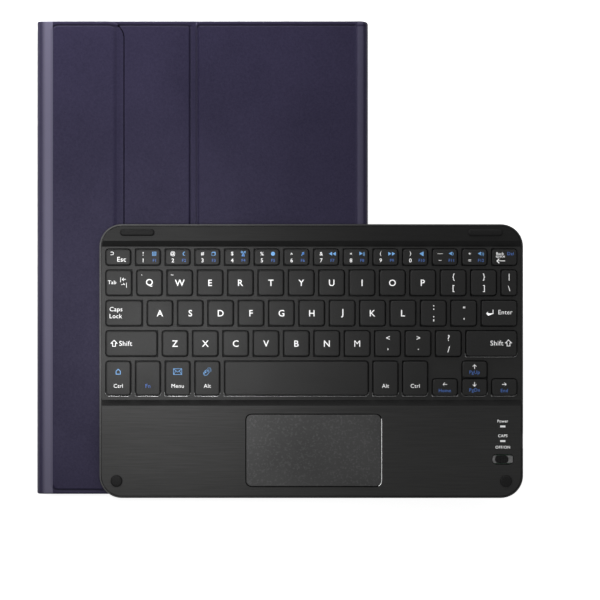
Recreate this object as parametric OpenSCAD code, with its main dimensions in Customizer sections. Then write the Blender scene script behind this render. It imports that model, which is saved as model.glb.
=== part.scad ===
// Tablet keyboard case: a leather folio with a tablet tray inside, and a detachable keyboard
// that lies on the closed front cover.
// The origin is the centre of the folio's underside. X runs from the spine to the free edge,
// Y runs along the spine, and Z runs up through the closed covers.

/* [Tablet and tray] */
// Short side of the tablet that the tray holds
tablet_w = 159.5; // [150:0.5:170]
// Long side of the tablet
tablet_l = 248; // [236:1:260]
// Thickness of the tablet
tablet_t = 8; // [6.6:0.2:10]
// Radius of the tablet's corners
tablet_corner_r = 9; // [6:0.5:12]
// Room between the tablet and each wall of the tray
tablet_fit = 0.2; // [0.1:0.05:0.4]
// Wall of the tray
tray_wall = 1.6; // [1.2:0.1:2.2]
// Floor of the tray
tray_floor = 1.2; // [0.8:0.1:2]
// Height of the lip that snaps over the tablet's edge
tray_lip_h = 0.8; // [0.6:0.1:1.2]
// Reach of the lip over the tablet
tray_lip_w = 0.5; // [0.3:0.1:0.8]
// Length of the port notch in the tray's end wall
port_notch_l = 16; // [12:1:24]
// Length of the button notch in the tray's side wall
button_notch_l = 36; // [24:1:50]
// Length of the camera window
camera_l = 24; // [18:1:32]
// Width of the camera window
camera_w = 12; // [9:0.5:16]
// Distance of the camera window's centre from the tray's side wall
camera_side = 16; // [12:1:24]
// Distance of the camera window's centre from the tray's end wall
camera_end = 26; // [20:1:40]

/* [Covers] */
// Outer leather
leather_t = 0.8; // [0.6:0.1:1.2]
// Stiffening board inside each cover
board_t = 1.4; // [1:0.1:2]
// Lining on the inner side of each cover
lining_t = 0.4; // [0.3:0.1:0.6]
// Leather beyond the board at both ends
board_inset = 3; // [2:0.5:5]
// Leather beyond the board next to the spine
board_groove = 1.5; // [1:0.25:2.5]
// Leather beyond the board on each side of the crease
board_crease = 2.5; // [1.5:0.25:4]
// Slit where two bodies of the folio meet at a hinge line
hinge_gap = 0.3; // [0.2:0.05:0.5]
// Radius of the folio's outer corners
case_corner_r = 2; // [1:0.5:4]
// Folio beyond the tray at both ends
end_margin = 6.7; // [4:0.1:10]
// Distance from the spine's hinge line to the tray
tray_setback = 5.8; // [5:0.1:9]
// Inner front panel, from the spine's hinge line to the crease
inner_panel_w = 79.2; // [70:0.2:86]

/* [Spine] */
// Depth of the spine behind its hinge line
spine_w = 8.9; // [8.4:0.1:11]
// Radius of the spine's shoulders
spine_r = 8; // [6:0.5:8]
// Leather of the spine
spine_t = 1; // [0.8:0.1:1.4]
// Formed stiffener inside the spine
spine_board_t = 1.2; // [0.8:0.1:1.8]
// Leather beyond the stiffener at the spine's top and bottom
spine_board_edge = 2.5; // [1.5:0.5:4]

/* [Hinge strip] */
// Width of the strip that is laid over the inner panel
strip_w = 40.5; // [30:0.5:60]
// Thickness of the strip
strip_t = 1.2; // [1:0.1:2]
// Board inside the strip
strip_board_t = 0.6; // [0.4:0.1:0.8]
// Leather beyond the strip's board at its free edge
strip_edge = 5.7; // [3:0.1:8]
// Radius of the strip's free corners
strip_corner_r = 9.4; // [7:0.2:14]

/* [Rolled edge] */
// Width of the rolled edge
lip_w = 6.6; // [5.6:0.2:9]
// Gap between the rolled edge and the tray
lip_gap = 1.2; // [1:0.1:2]
// Gap under the rolled edge when the folio is shut
lip_rest_gap = 0.4; // [0.3:0.1:0.8]
// Radius of the roll's outer crest
lip_r = 4.4; // [3:0.2:4.6]
// Radius of the roll's inner crest and foot
lip_foot_r = 1; // [0.9:0.1:1]
// Number of latch magnets in the roll
latch_magnets = 6; // [4:1:8]
// Length of a latch magnet
latch_magnet_l = 20; // [10:1:24]
// Width of a latch magnet
latch_magnet_w = 3; // [2:0.2:3.6]
// Height of a latch magnet
latch_magnet_h = 4; // [3:0.2:6]
// Thickness of the steel strip that the magnets pull on
latch_strip_t = 0.4; // [0.3:0.1:0.6]
// Diameter of a keyboard magnet in the outer panel
cover_magnet_d = 10; // [6:0.5:14]
// Thickness of a keyboard magnet
cover_magnet_t = 1; // [0.6:0.1:1]

/* [Keyboard body] */
// Width of the block of keys
key_block_w = 229.7; // [220:0.1:240]
// Deck beside the block of keys
side_margin = 3.75; // [3.25:0.25:6]
// Palm rest, from the front edge to its slope
palm_d = 51.7; // [49:0.1:60]
// Raised bar along the back edge
bar_d = 9.3; // [9:0.1:14]
// Depth of each slope down to the key deck
step_d = 3.3; // [2:0.1:5]
// Deck between the front slope and the keys
deck_front = 2.5; // [1.5:0.25:4]
// Deck between the keys and the back slope
deck_back = 1.5; // [1.2:0.1:4]
// Height of the bar and palm rest over the keyboard's underside
housing_h = 5; // [4.8:0.1:6]
// Drop from the palm rest to the key deck
deck_drop = 1.4; // [1:0.1:1.4]
// Wall of the housing
housing_t = 1.2; // [1:0.1:1.3]
// Radius of the keyboard's corners
kb_corner_r = 12.5; // [8:0.5:14]
// Floor of the metal base
base_t = 1; // [0.8:0.1:1.2]
// Height of the base's rim over the keyboard's underside
rim_h = 3.2; // [3:0.1:3.4]
// Wall of the base's rim
rim_t = 0.9; // [0.7:0.1:1.2]
// Shadow gap between the rim and the housing
rim_gap = 0.4; // [0.3:0.1:0.6]
// Clear height over the keyboard when it is stowed in the folio
bay_fit = 0.5; // [0.3:0.1:1.5]
// Keyboard's centre from the folio's centre, across the folio
kb_x = 61; // [50:1:70]
// Keyboard's centre from the folio's centre, along the spine
kb_y = -58; // [-70:1:-40]
// Gap under the keyboard where it lies on the folio
rest_gap = 0.05; // [0.05:0.05:0.2]

/* [Keys] */
// Gap between keys
key_gap = 2.95; // [2.4:0.05:3.2]
// Depth of the number row
number_l = 8.8; // [8:0.1:11]
// Depth of the letter rows
letter_l = 14.05; // [13:0.05:16]
// Depth of the front row
space_l = 19; // [17:0.5:21]
// Gap between the up and down arrow keys
arrow_gap = 0.9; // [0.8:0.1:1.4]
// Width of the Tab key
tab_w = 14.3; // [12:0.1:15]
// Width of the backslash key
backslash_w = 8.45; // [7:0.05:11]
// Width of the Caps Lock key
caps_w = 20.2; // [17:0.1:24]
// Width of the left Shift key
shift_w = 28.6; // [25:0.1:32]
// Height of a keycap
key_h = 2.7; // [2.4:0.1:2.8]
// Keycap over the deck
key_proud = 2.3; // [2.2:0.1:2.5]
// Travel of a key
key_travel = 1.5; // [1.2:0.1:1.5]
// Corner radius of a keycap
key_r = 1.5; // [1:0.1:2.2]
// Bevel round a keycap's top
key_bevel = 0.35; // [0.2:0.05:0.5]
// Top of a keycap
key_top_t = 0.9; // [0.8:0.1:1.1]
// Skirt of a keycap
key_wall = 0.8; // [0.6:0.1:1]
// Gap between a keycap and the edge of its hole
key_fit = 0.4; // [0.3:0.05:0.5]
// Diameter of the stem under a keycap
stem_d = 3; // [2:0.2:4]
// Length of the stem under a keycap
stem_h = 0.6; // [0.4:0.1:0.8]
// Diameter of a dome's foot
dome_d = 6; // [5:0.2:6.4]
// Thickness of the dome sheet
dome_sheet_t = 0.35; // [0.3:0.05:0.35]
// Thickness of the contact sheet
circuit_sheet_t = 0.25; // [0.2:0.05:0.25]

/* [Touchpad] */
// Width of the touchpad
touchpad_w = 76; // [60:1:90]
// Depth of the touchpad
touchpad_l = 41; // [34:0.5:43]
// Thickness of the touchpad
touchpad_t = 1.3; // [1:0.1:1.4]
// Radius of the touchpad's corners
touchpad_r = 3; // [2:0.5:6]
// Touchpad over the palm rest
touchpad_proud = 0.25; // [0.1:0.05:0.4]
// Gap round the touchpad
touchpad_gap = 0.35; // [0.3:0.05:0.6]
// Palm rest in front of the touchpad
touchpad_front = 6.2; // [5:0.1:8]
// Touchpad's centre to the right of the keyboard's centre
touchpad_x = 1.7; // [-4:0.1:4]
// Side of the click switch under the touchpad
click_w = 6; // [4:0.5:8]
// Free height between the click switch and the touchpad
click_gap = 0.45; // [0.4:0.05:0.6]

/* [Switch and lights] */
// Distance of the switch and lights from the keyboard's right edge
switch_side = 11.4; // [10:0.1:13]
// Distance of the switch from the front edge
switch_front = 21.7; // [18:0.1:24]
// Length of the switch slot
switch_slot_l = 11.5; // [11:0.1:13]
// Width of the switch slot
switch_slot_w = 5.3; // [4.6:0.1:6]
// Length of the switch knob
knob_l = 7.4; // [6:0.1:7.4]
// Width of the switch knob
knob_w = 4.1; // [3.4:0.1:4.2]
// Free slot beside the knob when it is off
knob_off_gap = 1.5; // [0.6:0.1:1.5]
// Knob over the palm rest
knob_proud = 0.3; // [0.1:0.1:0.6]
// Length of the power light
light_l = 3; // [2:0.1:4]
// Width of a light
light_w = 1.1; // [0.8:0.1:1.6]
// Distance of the power light from the front edge
power_light_front = 40.1; // [38:0.1:44]
// Distance of the caps light from the front edge
caps_light_front = 31.9; // [30:0.1:35]

/* [Bumpers] */
// Bumper over the bar and palm rest
bumper_proud = 1.1; // [1:0.05:1.4]
// Depth that a bumper is let into the housing
bumper_sink = 0.6; // [0.4:0.1:0.8]
// Length of a bar bumper
bar_bumper_l = 19.4; // [14:0.2:26]
// Width of a bar bumper
bar_bumper_w = 3.9; // [3:0.1:5]
// Distance of a bar bumper's centre from the side edge
bar_bumper_side = 21.2; // [18:0.2:30]
// Diameter of a round bumper
round_bumper_d = 6.7; // [5:0.1:8]
// Distance of a round bumper's centre from the side and front edges
round_bumper_edge = 9.6; // [8:0.1:12]

/* [Inside the keyboard] */
// Length of the battery cell
battery_l = 58; // [40:1:60]
// Width of the battery cell
battery_w = 32; // [24:1:34]
// Thickness of the battery cell
battery_t = 2.4; // [1.8:0.1:2.6]
// Length of the circuit board
board_l = 66; // [60:1:68]
// Width of the circuit board
pcb_w = 34; // [30:1:36]
// Thickness of the circuit board
pcb_t = 0.8; // [0.6:0.1:1]
// Width of the charging socket
socket_w = 7.5; // [7:0.1:8]
// Height of the charging socket
socket_h = 2.4; // [2:0.1:2.6]
// Length of the charging socket
socket_l = 5.6; // [5:0.1:7]
// Wall of the charging socket's shell
socket_t = 0.35; // [0.3:0.05:0.5]
// Distance of the charging socket from the front edge
socket_front = 32; // [31:0.5:34]
// Diameter of a screw's head
screw_head_d = 3; // [2.6:0.1:3.4]
// Height of a screw's head
screw_head_h = 0.5; // [0.4:0.1:0.6]
// Diameter of a screw's shank
screw_d = 1.4; // [1.2:0.1:1.6]
// Length of a screw's shank
screw_l = 2.4; // [1.8:0.1:2.4]
// Diameter of a screw boss
boss_d = 4; // [3.6:0.1:5]

/* [Hidden] */

// Overshoot of a cut past the face that it opens
over = 0.5;
// Segments of a round outline
round_fn = 48;
// Segments in each corner of a keycap's outline
key_corner_steps = 3;

// Colours
leather_color = [0.20, 0.19, 0.27];
lining_color = [0.17, 0.16, 0.22];
fibre_color = [0.45, 0.40, 0.33];
steel_color = [0.70, 0.70, 0.72];
plastic_color = [0.18, 0.18, 0.18];
key_color = [0.20, 0.20, 0.20];
rubber_color = [0.09, 0.09, 0.09];

// Keyboard stack, from its own underside
deck_z = housing_h - deck_drop;
key_top_z = deck_z + key_proud;
kb_h = housing_h + bumper_proud;
contact_z = base_t;
dome_sheet_z = contact_z + circuit_sheet_t;
dome_z = dome_sheet_z + dome_sheet_t;
// A dome is drawn as high as the stem leaves it when its key is pressed
dome_clearance = 0.1;
dome_h = key_top_z - key_top_t - stem_h - key_travel - dome_clearance - dome_z;

// Tray
pocket_w = tablet_w + 2 * tablet_fit;
pocket_l = tablet_l + 2 * tablet_fit;
pocket_r = tablet_corner_r + tablet_fit;
tray_w = pocket_w + 2 * tray_wall;
tray_l = pocket_l + 2 * tray_wall;
tray_h = tray_floor + tablet_t + tray_lip_h;

// Folio across X
case_w = spine_w + tray_setback + tray_w + lip_gap + lip_w;
case_l = tray_l + 2 * end_margin;
left_x = -case_w / 2;
right_x = case_w / 2;
groove_x = left_x + spine_w;
crease_x = groove_x + inner_panel_w;
lip_x = right_x - lip_w;
tray_x = groove_x + tray_setback + tray_w / 2;
board_l_covers = case_l - 2 * board_inset;
camera_x = tray_x + pocket_w / 2 - camera_side;
camera_y = pocket_l / 2 - camera_end;

// Folio through Z
back_board_z = leather_t;
back_lining_z = back_board_z + board_t;
tray_z = back_lining_z + lining_t;
rim_z = tray_z + tray_h;
front_lining_z = rim_z + kb_h + bay_fit;
front_board_z = front_lining_z + lining_t;
front_skin_z = front_board_z + board_t;
strip_z = front_skin_z + leather_t;
case_h = strip_z + strip_t;
lip_z = tray_z + lip_rest_gap;
kb_z = case_h + rest_gap;

// Keyboard plan, from its own centre
block_l = number_l + 3 * letter_l + space_l + 4 * key_gap;
kb_w = key_block_w + 2 * side_margin;
kb_l = palm_d + step_d + deck_front + block_l + deck_back + step_d + bar_d;
palm_y = -kb_l / 2 + palm_d;
bar_y = kb_l / 2 - bar_d;
block_y = bar_y - step_d - deck_back;
housing_inset = rim_t + rim_gap;
touchpad_y = -kb_l / 2 + touchpad_front + touchpad_l / 2;
switch_x = kb_w / 2 - switch_side;
switch_y = -kb_l / 2 + switch_front;

// Front edge of each key row
number_y = block_y - number_l;
upper_y = number_y - key_gap - letter_l;
home_y = upper_y - key_gap - letter_l;
lower_y = home_y - key_gap - letter_l;
space_y = lower_y - key_gap - space_l;

// Keys as [left, front, width, depth]
slot_count = 14;
slot_w = (key_block_w - (slot_count - 1) * key_gap) / slot_count;
// Keys between the first and the last of each letter row
upper_count = 12;
home_count = upper_count - 1;
lower_count = upper_count - 2;
key_pitch = (key_block_w - tab_w - backslash_w - key_gap) / upper_count;
key_w = key_pitch - key_gap;
half_l = (space_l - arrow_gap) / 2;
function slot_x(i) = -key_block_w / 2 + i * (slot_w + key_gap);
function slot_key(i, y, l, span = 1) =
    [slot_x(i), y, span * slot_w + (span - 1) * key_gap, l];
function run_x(first_w, i) = -key_block_w / 2 + first_w + key_gap + i * key_pitch;
function run_row(first_w, count, y) = concat(
    [[-key_block_w / 2, y, first_w, letter_l]],
    [for (i = [0 : count - 1]) [run_x(first_w, i), y, key_w, letter_l]],
    [[run_x(first_w, count), y, key_block_w / 2 - run_x(first_w, count), letter_l]]);
function part_of(row, first, last) = [for (i = [first : last]) row[i]];

number_row = [for (i = [0 : slot_count - 1]) slot_key(i, number_y, number_l)];
upper_row = run_row(tab_w, upper_count, upper_y);
home_row = run_row(caps_w, home_count, home_y);
lower_row = run_row(shift_w, lower_count, lower_y);
space_row = concat(
    [for (i = [0 : 3]) slot_key(i, space_y, space_l)],
    [slot_key(4, space_y, space_l, 5)],
    [for (i = [9, 10]) slot_key(i, space_y, space_l)]);
arrow_left = slot_key(11, space_y, half_l);
arrow_down = slot_key(12, space_y, half_l);
arrow_up = slot_key(12, space_y + half_l + arrow_gap, half_l);
arrow_right = slot_key(13, space_y, half_l);
arrow_column = slot_key(12, space_y, space_l);
all_keys = concat(number_row, upper_row, home_row, lower_row, space_row,
    [arrow_left, arrow_down, arrow_up, arrow_right]);
key_holes = concat(number_row, upper_row, home_row, lower_row, space_row,
    [arrow_left, arrow_column, arrow_right]);

// Screws along the bar and the front edge, as shares of the keyboard's width from its centre
screw_edge = 5;
bar_screws = [-0.32, -0.11, 0.11, 0.32];
front_screws = [-0.39, -0.21, 0.21, 0.39];
screw_places = concat(
    [for (s = bar_screws) [s * kb_w, kb_l / 2 - screw_edge]],
    [for (s = front_screws) [s * kb_w, -kb_l / 2 + screw_edge]]);

// ---------- outlines ----------

module rounded_rect(w, l, r) {
    square([w - 2 * r, l], center = true);
    square([w, l - 2 * r], center = true);
    for (sx = [-1, 1], sy = [-1, 1])
        translate([sx * (w / 2 - r), sy * (l / 2 - r)]) circle(r, $fn = round_fn);
}

module stadium(l, w) {
    square([w, l - w], center = true);
    for (s = [-1, 1])
        translate([0, s * (l - w) / 2]) circle(d = w, $fn = round_fn);
}

// A rectangle with its left edge rounded, from the origin to the right and up
module left_rounded(w, h, r) {
    intersection() {
        square([w, h]);
        union() {
            translate([r, 0]) square([w, h]);
            translate([0, r]) square([w, h - 2 * r]);
            for (y = [r, h - r])
                translate([r, y]) circle(r, $fn = round_fn);
        }
    }
}

// Outline of a keycap or of its hole, about its centre
module key_outline(w, l, r) {
    corners = [[1, 1], [-1, 1], [-1, -1], [1, -1]];
    polygon([for (c = [0 : 3], i = [0 : key_corner_steps - 1])
        let (a = 90 * (c + i / (key_corner_steps - 1)))
        [corners[c][0] * (w / 2 - r) + r * cos(a), corners[c][1] * (l / 2 - r) + r * sin(a)]]);
}

// A section in X and Z, drawn out along the spine
module along_spine(l) {
    rotate([90, 0, 0]) linear_extrude(l, center = true) children();
}

// A section in Y and Z, drawn out across the keyboard
module across_keyboard(w) {
    rotate([90, 0, 90]) linear_extrude(w, center = true) children();
}

module slab(x0, x1, l, z, t) {
    translate([x0, -l / 2, z]) cube([x1 - x0, l, t]);
}

module folio_plan() {
    linear_extrude(case_h) rounded_rect(case_w, case_l, case_corner_r);
}

module camera_cut(margin, z, h) {
    translate([camera_x, camera_y, z]) linear_extrude(h)
        stadium(camera_l + 2 * margin, camera_w + 2 * margin);
}

module on_keyboard() {
    translate([kb_x, kb_y, kb_z]) children();
}

// ---------- front cover: inner panel and strip ----------

inner_board_x0 = groove_x + board_groove;
inner_board_x1 = crease_x - board_crease;

module front_leather() {
    color(leather_color) difference() {
        slab(groove_x + hinge_gap / 2, crease_x - hinge_gap / 2, case_l, front_board_z,
            board_t + leather_t);
        slab(inner_board_x0, inner_board_x1, board_l_covers, front_board_z - over,
            board_t + over);
    }
}

module front_board() {
    color(fibre_color)
        slab(inner_board_x0, inner_board_x1, board_l_covers, front_board_z, board_t);
}

module front_lining() {
    color(lining_color)
        slab(groove_x + hinge_gap / 2, crease_x - hinge_gap / 2, case_l - board_inset,
            front_lining_z, lining_t);
}

// Plan of the strip or its board: square at the spine, round at the free corners
module strip_plan(x0, x1, l, r) {
    translate([x1, 0]) rotate(180) translate([0, -l / 2]) left_rounded(x1 - x0, l, r);
}

strip_x1 = groove_x + strip_w;
strip_board_r = strip_corner_r - board_inset;

module hinge_strip() {
    color(leather_color) difference() {
        translate([0, 0, strip_z]) linear_extrude(strip_t)
            strip_plan(groove_x + hinge_gap / 2, strip_x1, case_l, strip_corner_r);
        translate([0, 0, strip_z - over]) linear_extrude(strip_board_t + over)
            strip_plan(inner_board_x0, strip_x1 - strip_edge, board_l_covers, strip_board_r);
    }
}

module strip_board() {
    color(fibre_color) translate([0, 0, strip_z]) linear_extrude(strip_board_t)
        strip_plan(inner_board_x0, strip_x1 - strip_edge, board_l_covers, strip_board_r);
}

// ---------- front cover: outer panel with its rolled edge ----------

outer_board_x0 = crease_x + board_crease;

// Section of the rolled edge, or of the bar inside it, with a crest and a foot
module roll_section(inset) {
    w = lip_w - 2 * inset;
    h = case_h - lip_z - 2 * inset;
    crest = lip_r - inset;
    foot = lip_foot_r - inset;
    translate([lip_x + inset, lip_z + inset]) intersection() {
        square([w, h]);
        union() {
            translate([0, foot]) square([w, h - foot - crest]);
            translate([foot, 0]) square([w - 2 * foot, h / 2]);
            translate([foot, h / 2]) square([w - foot - crest, h / 2]);
            translate([0, h / 2]) square([foot, h / 2 - foot]);
            for (x = [foot, w - foot])
                translate([x, foot]) circle(foot, $fn = round_fn);
            translate([foot, h - foot]) circle(foot, $fn = round_fn);
            translate([w - crest, h - crest]) circle(crest, $fn = round_fn);
        }
    }
}

module fold_leather() {
    color(leather_color) intersection() {
        difference() {
            union() {
                slab(crease_x + hinge_gap / 2, lip_x + lip_foot_r, case_l, front_board_z,
                    board_t + leather_t);
                along_spine(case_l) roll_section(0);
            }
            slab(outer_board_x0, lip_x, board_l_covers, front_board_z - over,
                board_t + over);
            along_spine(board_l_covers) roll_section(leather_t);
        }
        folio_plan();
    }
}

cover_magnet_places = [for (x = [0.3, 0.7], s = [-1, 1])
    [outer_board_x0 + x * (lip_x - outer_board_x0), s * board_l_covers / 3]];

module cover_magnet_shapes(z, t) {
    for (p = cover_magnet_places)
        translate([p[0], p[1], z]) cylinder(d = cover_magnet_d, h = t, $fn = round_fn);
}

module fold_board() {
    color(fibre_color) difference() {
        slab(outer_board_x0, lip_x, board_l_covers, front_board_z, board_t);
        cover_magnet_shapes(front_board_z - over, cover_magnet_t + over);
    }
}

module cover_magnets() {
    color(steel_color) cover_magnet_shapes(front_board_z, cover_magnet_t);
}

module fold_lining() {
    color(lining_color)
        slab(crease_x + hinge_gap / 2, lip_x, case_l - board_inset, front_lining_z,
            lining_t);
}

latch_x = lip_x + lip_w / 2;

module latch_magnet_blocks() {
    pitch = board_l_covers / latch_magnets;
    for (i = [0 : latch_magnets - 1])
        translate([latch_x - latch_magnet_w / 2,
            (i - (latch_magnets - 1) / 2) * pitch - latch_magnet_l / 2, lip_z + leather_t])
            cube([latch_magnet_w, latch_magnet_l, latch_magnet_h]);
}

module edge_bar() {
    color(fibre_color) difference() {
        along_spine(board_l_covers) roll_section(leather_t);
        latch_magnet_blocks();
    }
}

module edge_magnets() {
    color(steel_color) latch_magnet_blocks();
}

// ---------- spine ----------

module spine_section(inset, open) {
    translate([left_x + inset, inset])
        left_rounded(spine_w - hinge_gap / 2 - inset + open, case_h - 2 * inset,
            spine_r - inset);
}

module spine_leather() {
    color(leather_color) intersection() {
        along_spine(case_l) difference() {
            spine_section(0, 0);
            spine_section(spine_t, over);
        }
        folio_plan();
    }
}

module spine_board() {
    board_z = spine_t + spine_board_edge;
    color(fibre_color) along_spine(board_l_covers) intersection() {
        difference() {
            spine_section(spine_t, 0);
            spine_section(spine_t + spine_board_t, over);
        }
        translate([left_x, board_z]) square([spine_w, case_h - 2 * board_z]);
    }
}

// ---------- back cover and tray ----------

camera_turn_in = 1.2;
camera_board_margin = 3;

module latch_strip_plate(t) {
    slab(latch_x - latch_magnet_w / 2, latch_x + latch_magnet_w / 2, board_l_covers,
        back_lining_z - latch_strip_t, t);
}

module back_leather() {
    color(leather_color) difference() {
        intersection() {
            slab(groove_x + hinge_gap / 2, right_x, case_l, 0, leather_t + board_t);
            folio_plan();
        }
        difference() {
            slab(inner_board_x0, right_x - board_inset / 2, board_l_covers, back_board_z,
                board_t + over);
            camera_cut(camera_board_margin, back_board_z - over, board_t + 3 * over);
        }
        camera_cut(camera_turn_in, -over, leather_t + board_t + 2 * over);
    }
}

module back_board() {
    color(fibre_color) difference() {
        slab(inner_board_x0, right_x - board_inset / 2, board_l_covers, back_board_z,
            board_t);
        camera_cut(camera_board_margin, back_board_z - over, board_t + 2 * over);
        latch_strip_plate(latch_strip_t + over);
    }
}

module latch_strip() {
    color(steel_color) latch_strip_plate(latch_strip_t);
}

module back_lining() {
    color(lining_color) difference() {
        slab(groove_x + hinge_gap / 2, right_x - board_inset / 2, case_l - board_inset,
            back_lining_z, lining_t);
        camera_cut(camera_turn_in, back_lining_z - over, lining_t + 2 * over);
    }
}

module tray_layer(w, l, r, z, h) {
    translate([tray_x, 0, z]) linear_extrude(h) rounded_rect(w, l, r);
}

module tablet_tray() {
    pocket_z = tray_z + tray_floor;
    notch_z = pocket_z + tablet_t / 4;
    color(plastic_color) difference() {
        tray_layer(tray_w, tray_l, pocket_r + tray_wall, tray_z, tray_h);
        tray_layer(pocket_w, pocket_l, pocket_r, pocket_z, tablet_t);
        tray_layer(pocket_w - 2 * tray_lip_w, pocket_l - 2 * tray_lip_w,
            pocket_r - tray_lip_w, pocket_z, tray_h);
        camera_cut(0, tray_z - over, tray_floor + 2 * over);
        // Port notch in the end wall and button notch in the side wall
        translate([tray_x - port_notch_l / 2, -tray_l, notch_z])
            cube([port_notch_l, tray_l, tray_h]);
        translate([tray_x + pocket_w / 4, pocket_l / 6, notch_z])
            cube([tray_w, button_notch_l, tray_h]);
    }
}

// ---------- keyboard shells ----------

module keyboard_plan(inset) {
    rounded_rect(kb_w - 2 * inset, kb_l - 2 * inset, kb_corner_r - inset);
}

// The housing's top line from front to back: palm rest, slope, key deck, slope, bar
module housing_side(drop) {
    across_keyboard(kb_w) polygon([
        [-kb_l / 2, base_t], [-kb_l / 2, housing_h - drop],
        [palm_y, housing_h - drop], [palm_y + step_d, deck_z - drop],
        [bar_y - step_d, deck_z - drop], [bar_y, housing_h - drop],
        [kb_l / 2, housing_h - drop], [kb_l / 2, base_t]]);
}

socket_x = kb_w / 2 - housing_inset - socket_l;
socket_y = -kb_l / 2 + socket_front;
socket_z = base_t + 0.15;
socket_fit = 0.3;

module socket_mouth() {
    translate([socket_x, socket_y - socket_w / 2 - socket_fit, socket_z - socket_fit / 2])
        cube([kb_w, socket_w + 2 * socket_fit, socket_h + socket_fit]);
}

module base_shell() {
    color(steel_color) on_keyboard() difference() {
        linear_extrude(rim_h) keyboard_plan(0);
        translate([0, 0, base_t]) linear_extrude(rim_h) keyboard_plan(rim_t);
        socket_mouth();
        for (p = screw_places)
            translate([p[0], p[1], -over]) {
                cylinder(d = screw_head_d, h = screw_head_h + over, $fn = round_fn);
                cylinder(d = screw_d, h = base_t + 2 * over, $fn = round_fn);
            }
    }
}

module bar_bumper_shapes(z, h) {
    for (s = [-1, 1])
        translate([s * (kb_w / 2 - bar_bumper_side), (kb_l / 2 + bar_y) / 2, z])
            linear_extrude(h) rotate(90) stadium(bar_bumper_l, bar_bumper_w);
}

module round_bumper_shapes(z, h) {
    for (s = [-1, 1])
        translate([s * (kb_w / 2 - round_bumper_edge), -kb_l / 2 + round_bumper_edge, z])
            cylinder(d = round_bumper_d, h = h, $fn = round_fn);
}

lens_h = housing_t + 0.8;

module lens_shapes(z, h, w) {
    translate([switch_x, -kb_l / 2 + power_light_front, z + h / 2])
        cube([light_l, w, h], center = true);
    translate([switch_x, -kb_l / 2 + caps_light_front, z + h / 2])
        cube([light_l, w, h], center = true);
}

module housing() {
    color(plastic_color) on_keyboard() {
        difference() {
            intersection() {
                translate([0, 0, base_t]) linear_extrude(housing_h)
                    keyboard_plan(housing_inset);
                housing_side(0);
            }
            intersection() {
                linear_extrude(housing_h) keyboard_plan(housing_inset + housing_t);
                housing_side(housing_t);
            }
            for (k = key_holes)
                translate([k[0] + k[2] / 2, k[1] + k[3] / 2, base_t])
                    linear_extrude(housing_h)
                        key_outline(k[2] + 2 * key_fit, k[3] + 2 * key_fit, key_r + key_fit);
            translate([touchpad_x, touchpad_y, base_t]) linear_extrude(housing_h)
                rounded_rect(touchpad_w + 2 * touchpad_gap, touchpad_l + 2 * touchpad_gap,
                    touchpad_r + touchpad_gap);
            translate([switch_x, switch_y, base_t]) linear_extrude(housing_h)
                rounded_rect(switch_slot_l, switch_slot_w, switch_slot_w / 2 - 0.2);
            lens_shapes(base_t, housing_h, light_w);
            bar_bumper_shapes(housing_h - bumper_sink, bumper_sink + over);
            round_bumper_shapes(housing_h - bumper_sink, bumper_sink + over);
            socket_mouth();
        }
        for (p = screw_places)
            translate([p[0], p[1], base_t]) difference() {
                cylinder(d = boss_d, h = housing_h - housing_t - base_t, $fn = round_fn);
                translate([0, 0, -over])
                    cylinder(d = screw_d, h = screw_l - base_t + screw_head_h + over,
                        $fn = round_fn);
            }
    }
}

module bar_bumpers() {
    color(rubber_color) on_keyboard()
        bar_bumper_shapes(housing_h - bumper_sink, bumper_sink + bumper_proud);
}

module round_bumpers() {
    color(rubber_color) on_keyboard()
        round_bumper_shapes(housing_h - bumper_sink, bumper_sink + bumper_proud);
}

module indicator_lenses() {
    color([0.95, 0.95, 0.92]) on_keyboard()
        lens_shapes(housing_h - lens_h, lens_h, light_w);
}

module base_screws() {
    color(steel_color) on_keyboard()
        for (p = screw_places)
            translate([p[0], p[1], 0]) {
                cylinder(d = screw_head_d, h = screw_head_h, $fn = round_fn);
                cylinder(d = screw_d, h = screw_head_h + screw_l - base_t, $fn = round_fn);
            }
}

// ---------- keyboard insides ----------

sheet_margin = 1;
sheet_w = key_block_w + 2 * sheet_margin;
sheet_l = block_l + 2 * sheet_margin;
sheet_y = block_y - block_l / 2;

module contact_sheet() {
    color([0.75, 0.76, 0.70]) on_keyboard() translate([0, sheet_y, contact_z])
        linear_extrude(circuit_sheet_t) square([sheet_w, sheet_l], center = true);
}

module dome_sheet() {
    color([0.82, 0.82, 0.80]) on_keyboard() {
        translate([0, sheet_y, dome_sheet_z]) linear_extrude(dome_sheet_t)
            square([sheet_w, sheet_l], center = true);
        for (k = all_keys)
            translate([k[0] + k[2] / 2, k[1] + k[3] / 2, dome_z - 0.1])
                cylinder(d1 = dome_d, d2 = stem_d, h = dome_h + 0.1, $fn = 24);
    }
}

inner_x = kb_w / 2 - housing_inset - housing_t;
battery_side = 8;
board_side = 1;
inside_front = 2;
inside_y = palm_y - pcb_w / 2 - inside_front;
pcb_x = inner_x - board_side - board_l;
// Controller, radio module and two smaller chips as [along, across, length, width, height]
chips = [[8, -6, 9, 9, 0.9], [24, 2, 12, 9, 1.1], [24, -10, 5, 4, 0.7], [34, -9, 4, 3, 0.7]];

module battery() {
    color([0.62, 0.64, 0.66]) on_keyboard()
        translate([-inner_x + battery_side, inside_y - battery_w / 2, base_t])
            cube([battery_l, battery_w, battery_t]);
}

module circuit_board() {
    color([0.10, 0.32, 0.18]) on_keyboard() difference() {
        union() {
            translate([pcb_x, inside_y - pcb_w / 2, base_t]) cube([board_l, pcb_w, pcb_t]);
            for (c = chips)
                translate([pcb_x + c[0], inside_y + c[1], base_t])
                    cube([c[2], c[3], pcb_t + c[4]]);
        }
        translate([socket_x - socket_fit, socket_y - socket_w / 2 - socket_fit, 0])
            cube([board_l, socket_w + 2 * socket_fit, housing_h]);
    }
}

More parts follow.
